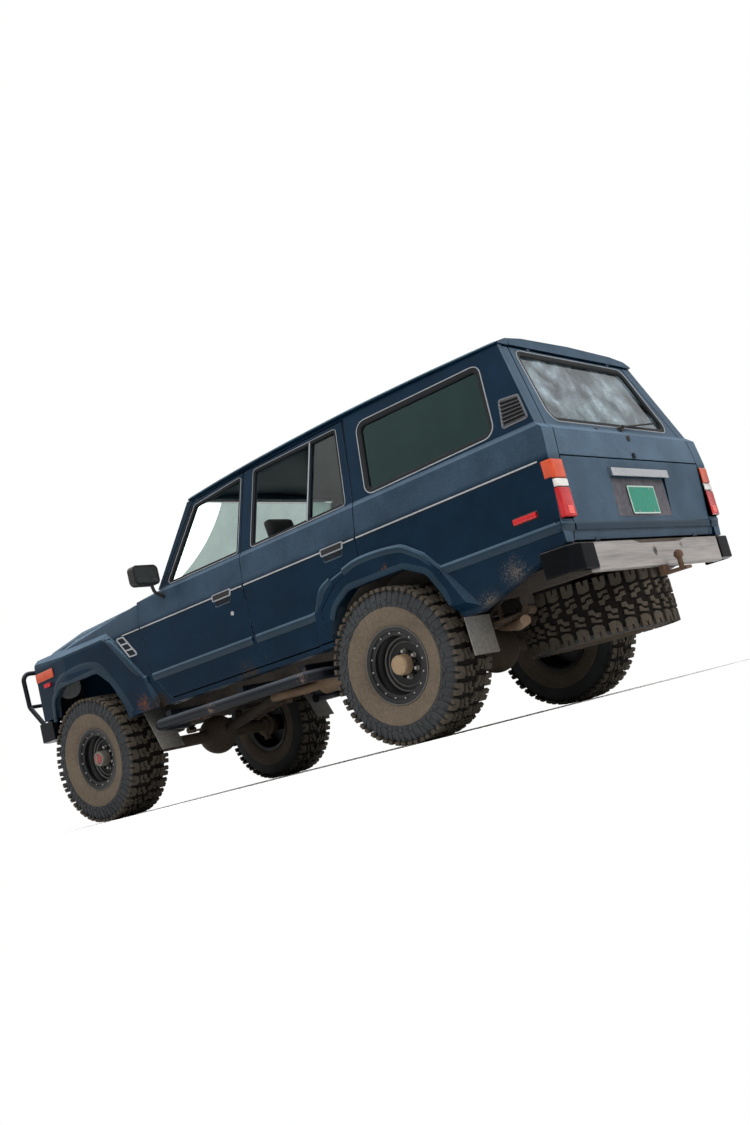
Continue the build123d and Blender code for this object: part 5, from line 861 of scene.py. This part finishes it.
SHOULDER = ((-34, 92), (-8, 84), (22, 92), (32, 104), (33, 153), (10, 153), (8, 128), (-4, 126), (-6, 153), (-33, 153))
CENTRE_A = ((-30, 6), (-4, 3), (6, 24), (34, 32), (30, 52), (4, 50), (-8, 34), (-32, 26))
CENTRE_B = ((-26, 44), (-12, 44), (2, 60), (30, 62), (28, 80), (-2, 76), (-28, 70))
RIBS = (((-32, 331), (-28, 398), (-3, 398), (-7, 340)), ((4, 350), (8, 398), (33, 398), (30, 350)),
        ((2, 318), (4, 344), (34, 344), (33, 322)), ((-36, 312), (-34, 325), (-6, 334), (-4, 316)))
tread_pieces = []
for side_sign, shift in ((1, 0), (-1, 22)):
    for piece, step in ((SHOULDER, SHOULDER_STEP), (CENTRE_A, 0), (CENTRE_B, 0)):
        points = [(s + shift, y * side_sign) for s, y in piece]
        tread_pieces.append(tread_block(points, drawn_in(points, DRAFT), BLOCK_ROOT, TYRE_RADIUS - step))


def gathered(pieces):
    verts, faces = [], []
    for piece_verts, piece_faces in pieces:
        faces += [[len(verts) + i for i in face] for face in piece_faces]
        verts += piece_verts
    return verts, faces


def ring_tree():
    """Copies of a piece set round the Y axis at equal angles."""
    tree = bpy.data.node_groups.new("ring_of_copies", "GeometryNodeTree")
    tree.interface.new_socket("Piece", in_out="INPUT", socket_type="NodeSocketGeometry")
    tree.interface.new_socket("Count", in_out="INPUT", socket_type="NodeSocketInt")
    tree.interface.new_socket("Finish", in_out="INPUT", socket_type="NodeSocketMaterial")
    tree.interface.new_socket("Ring", in_out="OUTPUT", socket_type="NodeSocketGeometry")
    given, result = tree.nodes.new("NodeGroupInput"), tree.nodes.new("NodeGroupOutput")
    spots = tree.nodes.new("GeometryNodePoints")
    index = tree.nodes.new("GeometryNodeInputIndex")
    share = tree.nodes.new("ShaderNodeMath")
    share.operation = "DIVIDE"
    angle = tree.nodes.new("ShaderNodeMath")
    angle.operation = "MULTIPLY"
    angle.inputs[1].default_value = math.tau
    turn = tree.nodes.new("ShaderNodeCombineXYZ")
    place = tree.nodes.new("GeometryNodeInstanceOnPoints")
    real = tree.nodes.new("GeometryNodeRealizeInstances")
    coat = tree.nodes.new("GeometryNodeSetMaterial")
    for start, end in (
        (given.outputs["Count"], spots.inputs["Count"]), (index.outputs[0], share.inputs[0]),
        (given.outputs["Count"], share.inputs[1]), (share.outputs[0], angle.inputs[0]),
        (angle.outputs[0], turn.inputs["Y"]), (turn.outputs[0], place.inputs["Rotation"]),
        (spots.outputs[0], place.inputs["Points"]), (given.outputs["Piece"], place.inputs["Instance"]),
        (place.outputs[0], real.inputs[0]), (real.outputs[0], coat.inputs["Geometry"]),
        (given.outputs["Finish"], coat.inputs["Material"]), (coat.outputs[0], result.inputs["Ring"]),
    ):
        tree.links.new(start, end)
    return tree


ring_of_copies = ring_tree()


def around(parts, count, material):
    """The given piece, set round the Y axis by the ring tree and read back as plain vertices and faces."""
    verts, faces = parts
    mesh = bpy.data.meshes.new("pitch")
    mesh.from_pydata([tuple(v) for v in verts], [], faces)
    pitch = bpy.data.objects.new("pitch", mesh)
    scene.collection.objects.link(pitch)
    ring = pitch.modifiers.new("ring", "NODES")
    ring.node_group = ring_of_copies
    sockets = {item.name: item.identifier for item in ring_of_copies.interface.items_tree if item.in_out == "INPUT"}
    ring[sockets["Count"]] = count
    ring[sockets["Finish"]] = material
    pitch.update_tag()
    plain = bpy.data.meshes.new_from_object(pitch.evaluated_get(bpy.context.evaluated_depsgraph_get()))
    found = [v.co.copy() for v in plain.vertices], [list(p.vertices) for p in plain.polygons]
    bpy.data.objects.remove(pitch)
    bpy.data.meshes.remove(plain)
    return (*found, material)


carcass_line = [*CARCASS, *((-y, r) for y, r in CARCASS[::-1])]
WALL_RING = (
    (108, 196), (114, 206), (129, 219), (138.5, 232), (149.5, 262), (154.8, 298), (154.6, 311), (150, 313), (120, 260),
)
CORE_RING = (
    (129, 397.5), (112, 404), (60, 406.5), (-60, 406.5), (-112, 404), (-129, 397.5), (-100, 396), (100, 396),
)
tyre_parts = [
    (*turned_ring(carcass_line), tyre_biters),
    (*turned_ring(WALL_RING), tyre_wall),
    (*turned_ring([(-y, r) for y, r in WALL_RING]), tyre_wall),
    around(gathered(tread_pieces), PITCHES, tyre_tread),
    around(gathered([wall_rib(rib) for rib in RIBS]), PITCHES, tyre_biters),
    (*turned_ring(CORE_RING), tyre_core),
]
HALF_TRACK, AXLE_HEIGHT = 0.805, 0.42
WHEELS = (("front", 1.5975), ("rear", -1.1325))
for end, axle_x in WHEELS:
    tyres = make_pair(f"mud_tyre_{end}", tyre_parts, f"wheel_{end}_{{}}", (axle_x, HALF_TRACK, AXLE_HEIGHT))
    for tyre, (side, _) in zip(tyres, SIDES):
        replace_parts(tyre, f"tyre_{end}_{side}")


# Rims: pressed steel in black satin, with a ring of sixteen bolts near the edge and a deep well.
# Six nuts hold each, the rear hubs have a dusty round cap and the front ones a locking dial.
rim_black = finish(
    "rim_black", (0.004, 0.005, 0.007), 0.35, specular=0.25, vary=0.4, grain=90.0, bump=0.12, dust_and_highlight=(0.1, 0.09, 0.075),
    all_over=0.08,
)
# Pale grey on the lip bead and the well ridges: worn metal, and a painted highlight on the black rim's edges.
rim_worn_highlight = finish(
    "rim_worn_highlight", (0.07, 0.072, 0.075), 0.42, metallic=0.4, vary=0.4, grain=160.0, bump=0.15, dust_and_highlight=(0.2, 0.18, 0.15),
    all_over=0.3,
)
bolt_zinc = finish(
    "bolt_zinc", (0.32, 0.31, 0.3), 0.4, metallic=0.6, vary=0.4, grain=200.0, dust_and_highlight=(0.4, 0.37, 0.32), all_over=0.3,
)
dress([f"rim_{end}_{side}" for end, _ in WHEELS for side, _ in SIDES], rim_black, 0.001)
RING_FLANGE = ((96, 184), (108, 186), (112, 182), (112, 164), (108, 158), (98, 157), (92, 160))
LIP_BEAD = ((117, 200), (123, 201), (126.5, 205), (125, 209), (118, 210))
WELL_RINGS = (
    ((30, 150), (37, 149), (40, 145), (37, 141), (30, 140)), ((30, 124), (35, 123), (37, 120), (35, 117), (30, 116)),
)
VALVE = ((110, 4), (126, 4), (128, 3), (128, 0))


def fastener(radius, across, foot, height, sides=6, washer=True):
    """A bolt head or nut standing outboard on the wheel at the given distance from the axle."""
    profile = [(foot - 2, across * 0.7), (foot + 1, across * 0.7)] if washer else [(foot - 2, across * 0.5)]
    profile += [(foot + 1, across * 0.5), (height - 1, across * 0.5), (height, across * 0.42), (height, 0)]
    return turned(profile, Vector((0, 0, radius / 1000)), (0, 1, 0), sides)


wheel_trim = [
    (*turned_ring(RING_FLANGE, 72), rim_black),
    (*turned_ring(LIP_BEAD, 72), rim_worn_highlight),
    *[(*turned_ring(ring, 64), rim_worn_highlight) for ring in WELL_RINGS],
    around(fastener(174, 10, 111, 118, 8), 16, bolt_zinc),
    around(fastener(69.85, 20, 31, 52, 6), 6, bolt_zinc),
    (*turned(VALVE, Vector((0.0, 0, 0.150)), (0, 1, 0), 8), black_rubber),
]
cap_tan = finish("cap_tan", (0.2, 0.13, 0.075), 0.55, metallic=0.2, vary=0.35, grain=90.0, bump=0.3,
                 dust_and_highlight=(0.34, 0.25, 0.16), all_over=0.45)
dial_grey = finish("dial_grey", (0.16, 0.15, 0.14), 0.5, metallic=0.5, vary=0.3, grain=120.0, bump=0.2, all_over=0.35)
dial_red = finish("dial_red", (0.32, 0.012, 0.016), 0.45, vary=0.3, grain=120.0, bump=0.1, all_over=0.15)
HUB_CAP = ((50, 56), (96, 54), (104, 51), (108, 46), (109.5, 38), (108, 36), (108, 12), (110, 9), (110, 0))
FREE_HUB = ((50, 53), (98, 51), (106, 48), (110, 43), (110, 36), (106, 34), (106, 0))
DIAL = ((104, 32), (112, 31), (114, 28), (114, 8), (112, 6), (112, 0))
GRIP = ((-0.007, -0.026), (0.007, -0.026), (0.007, 0.026), (-0.007, 0.026))
rear_cap = [
    (*turned(HUB_CAP, Vector(), (0, 1, 0), 40), cap_tan),
    around(fastener(44, 5, 107, 111, 8, False), 6, bolt_zinc),
]
front_cap = [
    (*turned(FREE_HUB, Vector(), (0, 1, 0), 40), dial_grey),
    (*turned(DIAL, Vector(), (0, 1, 0), 32), dial_red),
    around(fastener(43, 5, 109, 113, 6, False), 6, bolt_zinc),
    (*plate([Vector((x, 0.113, z)) for x, z in GRIP], Vector((0, 0.006, 0))), dial_grey),
]
for (end, axle_x), cap in zip(WHEELS, (front_cap, rear_cap)):
    place = (axle_x, HALF_TRACK, AXLE_HEIGHT)
    make_pair(f"wheel_trim_{end}", wheel_trim + cap, f"wheel_{end}_{{}}", place)


# Spare wheel: the same tyre on a plain pressed rim, hung flat under the rear floor.
# It rides with its outer side up, so the tread and the dull inner wall show from behind.
SPARE_RIM = (
    (-122, 206), (-124, 210), (-118, 212), (-110, 196), (-60, 186), (60, 186), (110, 196), (118, 212), (124, 210),
    (122, 206), (112, 190), (60, 180), (36, 168), (28, 150), (28, 52), (20, 52), (20, 150), (26, 166), (-56, 180),
    (-110, 190),
)
SPARE_PLACE = (-1.8435, 0, 0.446)
spare = [([Vector((v.x, -v.z, v.y)) for v in verts], faces, material)
         for verts, faces, material in (*tyre_parts, (*turned_ring(SPARE_RIM, 64), rim_black))]
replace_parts(make("mud_tyre_spare", spare, "car", move=SPARE_PLACE), "spare_wheel")


# Running gear and frame: painted and bare steel, black, rusted and caked with pale dust.
# These castings, pressings and tubes keep the frame's own shapes and get a worn finish each.
frame_black = finish(
    "frame_black", (0.012, 0.012, 0.013), 0.6, vary=0.4, grain=80.0, bump=0.3, dust_and_highlight=(0.12, 0.09, 0.065), all_over=0.25,
    top_dust_and_highlight=0.3, mud_top=0.75, mud=0.3,
    spots=((at(1500, 400, 330), 0.6, 45.0, RUST, 0.42), (at(-300, 400, 380), 0.7, 45.0, RUST, 0.42)),
)
iron_rusty = finish(
    "iron_rusty", (0.035, 0.027, 0.022), 0.75, metallic=0.2, vary=0.5, grain=90.0, bump=0.4, dust_and_highlight=(0.15, 0.11, 0.075),
    all_over=0.35, mud_top=0.7, mud=0.3,
)
pipe_rusty = finish(
    "pipe_rusty", (0.16, 0.095, 0.055), 0.7, metallic=0.3, vary=0.45, grain=70.0, bump=0.35, dust_and_highlight=(0.3, 0.22, 0.15),
    all_over=0.4,
)
spring_rust = finish(
    "spring_rust", (0.05, 0.033, 0.024), 0.8, metallic=0.2, vary=0.5, grain=110.0, bump=0.4, dust_and_highlight=(0.17, 0.12, 0.08),
    all_over=0.4,
)
floor_pan_dusty = finish(
    "floor_pan_dusty", (0.02, 0.022, 0.025), 0.7, vary=0.4, grain=80.0, bump=0.25, dust_and_highlight=(0.17, 0.125, 0.085),
    all_over=0.22, mud_top=0.9, mud=0.35,
)
dress(("frame", "shock_absorbers", "fuel_tank", "prop_shafts"), frame_black, 0.0015)
dress(("axles", "knuckle_left", "knuckle_right", "engine"), iron_rusty, 0.002)
dress(("exhaust",), pipe_rusty)
dress(("leaf_springs",), spring_rust, 0.001)
dress(("floor_pan",), floor_pan_dusty, 0.001)


# Front end, side steps and mirrors: black painted steel and black mouldings.
# Tubes are bent and welded; the mirrors have a silvered glass each, set in the shell's rear face.
SCUFF = (0.2, 0.14, 0.1)
tube_black = finish(
    "tube_black", (0.003, 0.004, 0.007), 0.32, specular=0.15, vary=0.35, grain=110.0, bump=0.15,
    dust_and_highlight=(0.11, 0.125, 0.145), all_over=0.02, top_dust_and_highlight=0.5,
    spots=((at(700, 900, 372), 0.2, 45.0, SCUFF, 0.42), (at(1500, 900, 372), 0.25, 45.0, SCUFF, 0.44)),
)
dress(("front_bumper", "side_steps", "hinges"), tube_black, 0.002)
dress(("grille_panel", "mirror_left", "mirror_right"), black_moulding, 0.004)
silver_glass = finish(
    "silver_glass", (0.3, 0.33, 0.35), 0.08, metallic=0.9, vary=0.1, grain=20.0, bump=0.01, all_over=0.12,
)
MIRROR_EDGE = mm(((-4, -2), (-3, 2), (2, 2.5), (4, -2)))
mirror_line = rounded([at(1740, y, z) for y, z in ((900, 1238), (900, 1343), (1077, 1343), (1077, 1238))], 0.022)
parts = [
    (*plate(mirror_line[::-1], Vector((-0.002, 0, 0))), silver_glass),
    hoop(mirror_line, Vector((-1, 0, 0)), MIRROR_EDGE, black_moulding),
]
make_pair("mirror_glass", parts, "door_front_{}_body")


# Lamps at the front: round sealed beams behind ribbed glass, and amber corner lamps round the wings.
# A small red reflector sits under each corner lamp.
lamp_glass = lens("lamp_glass", (0.55, 0.57, 0.58), 0.06)
dress(("head_lamps",), lamp_glass, 0.003)
dress(("corner_lamps",), amber_lens, 0.004)
BEZEL_RADIUS, BEZEL_STEPS = 0.095, 48
BEZEL = mm(((-7, -3), (-6, 3), (-2, 6), (3, 6), (6, 2), (6, -3)))
BULB_SHIELD = ((-2, 24), (3, 23), (6, 18), (7, 8), (7, 0))
angles = [math.tau * i / BEZEL_STEPS for i in range(BEZEL_STEPS)]
bezel_line = [at(3353, 628, 880) + Vector((0.0, math.cos(a), math.sin(a))) * BEZEL_RADIUS for a in angles]
parts = [
    hoop(bezel_line, Vector((1, 0, 0)), BEZEL, chrome),
    (*turned(BULB_SHIELD, at(3358, 628, 880), (1, 0, 0)), bright_trim),
]
make_pair("head_lamp_bezel", parts, "car")
LENS_SECTION = mm(((-33, -1), (-32, 4), (-27, 7), (27, 7), (32, 4), (33, -1)))
GASKET = mm(((-37, -1), (-36, 2.5), (36, 2.5), (37, -1)))
wing_side = [at(x, y, 961) for x, y in ((3072, 890.5), (3200, 879), (3316, 869.5))]
wing_outs = [Vector((0.09, 1, 0)).normalized()] * 3
small_lens = flank_outline(((3200, 872), (3200, 900), (3125, 900), (3125, 872)), 0.006)
parts = [
    (*sweep(wing_side, wing_outs, LENS_SECTION), amber_lens), (*sweep(wing_side, wing_outs, GASKET), black_rubber),
]
make_pair("wing_lamp", parts, "car")
make_pair("wing_reflector", [(*plate(small_lens, Vector((0, 0.012, 0))), red_lens)], "car")


# Mud flaps: moulded rubber sheet behind each wheel, held by a steel strip and two bolts.
# Bluish where the road keeps it clean, tan where it is splashed.
flap_rubber = finish(
    "flap_rubber", (0.055, 0.065, 0.075), 0.7, vary=0.2, grain=60.0, bump=0.12, dust_and_highlight=(0.26, 0.235, 0.2), all_over=0.35,
    mud_top=0.62, mud=0.5,
)
dress(("mud_flaps",), flap_rubber, 0.001)


# Cabin: the padded dash, its column and the two-spoke wheel, seen through the glass.
# All are moulded in black, grained plastic.
cabin_plastic = finish(
    "cabin_plastic", (0.014, 0.014, 0.015), 0.6, vary=0.2, grain=700.0, bump=0.3, dust_and_highlight=(0.15, 0.13, 0.1), top_dust_and_highlight=0.2,
)
dress(("dashboard", "steering_wheel"), cabin_plastic, 0.004)


# Seats: two front chairs with head restraints and a rear bench, foam under dark woven cloth.
# Each pad is swollen by a short cloth run, and its sewn channels are pressed in afterwards.
seat_cloth, cloth_surface = shader("seat_cloth", Roughness=0.9, Sheen_Weight=0.3, Sheen_Roughness=0.5)
tree = seat_cloth.node_tree
place = add_node(tree, "TexCoord").outputs["Object"]
warp = add_node(tree, "TexWave", {"Vector": place, "Scale": 160.0}, bands_direction="X").outputs["Fac"]
weft = add_node(tree, "TexWave", {"Vector": place, "Scale": 160.0}, bands_direction="Y").outputs["Fac"]
weave = reckon(tree, "MULTIPLY", warp, weft)
wear = noise(tree, place, 7.0, 6.0)
tone = add_node(tree, "Mix", {"Factor": 0.6, 2: weave, 3: wear}, data_type="FLOAT").outputs[0]
cloth_shade = mix(tree, tone, (0.012, 0.012, 0.014), (0.06, 0.058, 0.06))
tree.links.new(cloth_shade, cloth_surface.inputs["Base Color"])
emboss(tree, cloth_surface, weave, 0.3, 0.001)
SWELL_LIMIT, SWELL_FRAMES, PAD_VOXEL = 0.024, 20, 0.018
SEAM_WIDTH, SEAM_DEPTH = 0.022, 0.009


def pad(name, centre, size, tilt=0.0, channels=()):
    """A foam pad in its cover: a rounded block, swollen by cloth pressure, with sewn channels across it."""
    length, width, thick = (value / 1000 - 0.03 for value in size)
    work = bmesh.new()
    bmesh.ops.create_cube(work, size=1)
    bmesh.ops.scale(work, verts=work.verts, vec=(length, width, thick))
    bmesh.ops.bevel(work, geom=list(work.edges), offset=0.3 * min(length, width, thick), segments=3, affect="EDGES")
    mesh = bpy.data.meshes.new(name)
    work.to_mesh(mesh)
    work.free()
    cushion = bpy.data.objects.new(name, mesh)
    scene.collection.objects.link(cushion)
    remesh = cushion.modifiers.new("remesh", "REMESH")
    remesh.mode = "VOXEL"
    remesh.voxel_size = PAD_VOXEL
    plain = bpy.data.meshes.new_from_object(cushion.evaluated_get(bpy.context.evaluated_depsgraph_get()))
    cushion.modifiers.clear()
    cushion.data = plain
    cloth = cushion.modifiers.new("cloth", "CLOTH")
    cloth.settings.use_pressure = True
    cloth.settings.uniform_pressure_force = 4
    cloth.settings.effector_weights.gravity = 0
    cloth.point_cache.frame_start, cloth.point_cache.frame_end = 1, SWELL_FRAMES
    for step in range(1, SWELL_FRAMES + 1):
        scene.frame_set(step)
    swollen = bpy.data.meshes.new_from_object(cushion.evaluated_get(bpy.context.evaluated_depsgraph_get()))
    cushion.modifiers.clear()
    for vertex, moved in zip(plain.vertices, swollen.vertices):
        shift = moved.co - vertex.co
        vertex.co += shift * min(1, SWELL_LIMIT / max(shift.length, 1e-6))
    scene.frame_set(1)
    turn = Matrix.Rotation(math.radians(tilt), 3, "Y")
    for vertex in plain.vertices:
        for x in channels:
            near = abs(vertex.co.x - x / 1000)
            if near < SEAM_WIDTH and vertex.co.z > 0:
                vertex.co.z -= SEAM_DEPTH * (1 - near / SEAM_WIDTH)
        vertex.co = turn @ vertex.co + centre
    plain.polygons.foreach_set("use_smooth", [True] * len(plain.polygons))
    plain.materials.append(seat_cloth)
    smooth = cushion.modifiers.new("smooth", "SUBSURF")
    smooth.levels = smooth.render_levels = 1
    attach(cushion, "car")
    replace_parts(cushion, "seats")


PADS = (
    # name, centre, (length, width, thickness), tilt, channels
    ("front_cushion_{}", (1395, 380, 785), (490, 490, 150), -3, (-120, 0, 120)),
    ("front_back_{}", (1150, 380, 1065), (520, 470, 130), -80, (-140, 0, 140)),
    ("head_rest_{}", (1095, 380, 1375), (170, 270, 95), -82, ()),
)
for name, (x, y, z), size, tilt, channels in PADS:
    for side, sign in SIDES:
        pad(name.format(side), at(x, y * sign, z), size, tilt, channels)
pad("bench_cushion", at(520, 0, 785), (460, 1150, 150), -3, (-110, 20, 140))
pad("bench_back", at(290, 0, 1060), (520, 1140, 120), -80, (-140, 0, 140))


# Seat bases: a pressed steel stand under each front chair, and a low one under the bench.
# Each is folded from sheet with a sunk panel in its upright sides, painted black and bolted to the floor.
def stand(x_ends, y_ends, z_ends):
    """A folded box between three pairs of drawing sizes, its corners rounded and its sides sunk."""
    low, high = (at(*(ends[i] for ends in (x_ends, y_ends, z_ends))) for i in (0, 1))
    work = bmesh.new()
    bmesh.ops.create_cube(work, size=1)
    bmesh.ops.scale(work, verts=work.verts, vec=high - low)
    bmesh.ops.translate(work, verts=work.verts, vec=(low + high) / 2)
    bmesh.ops.bevel(work, geom=list(work.edges), offset=0.012, segments=3, affect="EDGES")
    work.normal_update()
    walls = [face for face in work.faces if face.calc_area() > 0.01 and abs(face.normal.z) < 0.1]
    bmesh.ops.inset_individual(work, faces=walls, thickness=0.012)
    bmesh.ops.inset_individual(work, faces=walls, thickness=0.004, depth=-0.006)
    verts = [vertex.co.copy() for vertex in work.verts]
    faces = [[vertex.index for vertex in face.verts] for face in work.faces]
    work.free()
    return verts, faces


BASE_TOP, BASES = 728, (
    # name, rear and front end, right and left side, floor
    ("seat_base_left", (940, 1320), (160, 600), 560.3), ("seat_base_right", (940, 1320), (-600, -160), 560.3),
    ("bench_base", (60, 330), (-556, 556), 700.3),
)
for name, x_ends, y_ends, floor_z in BASES:
    base = make(name, [(*stand(x_ends, y_ends, (floor_z, BASE_TOP)), frame_black)], "car")
    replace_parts(base, "seats")
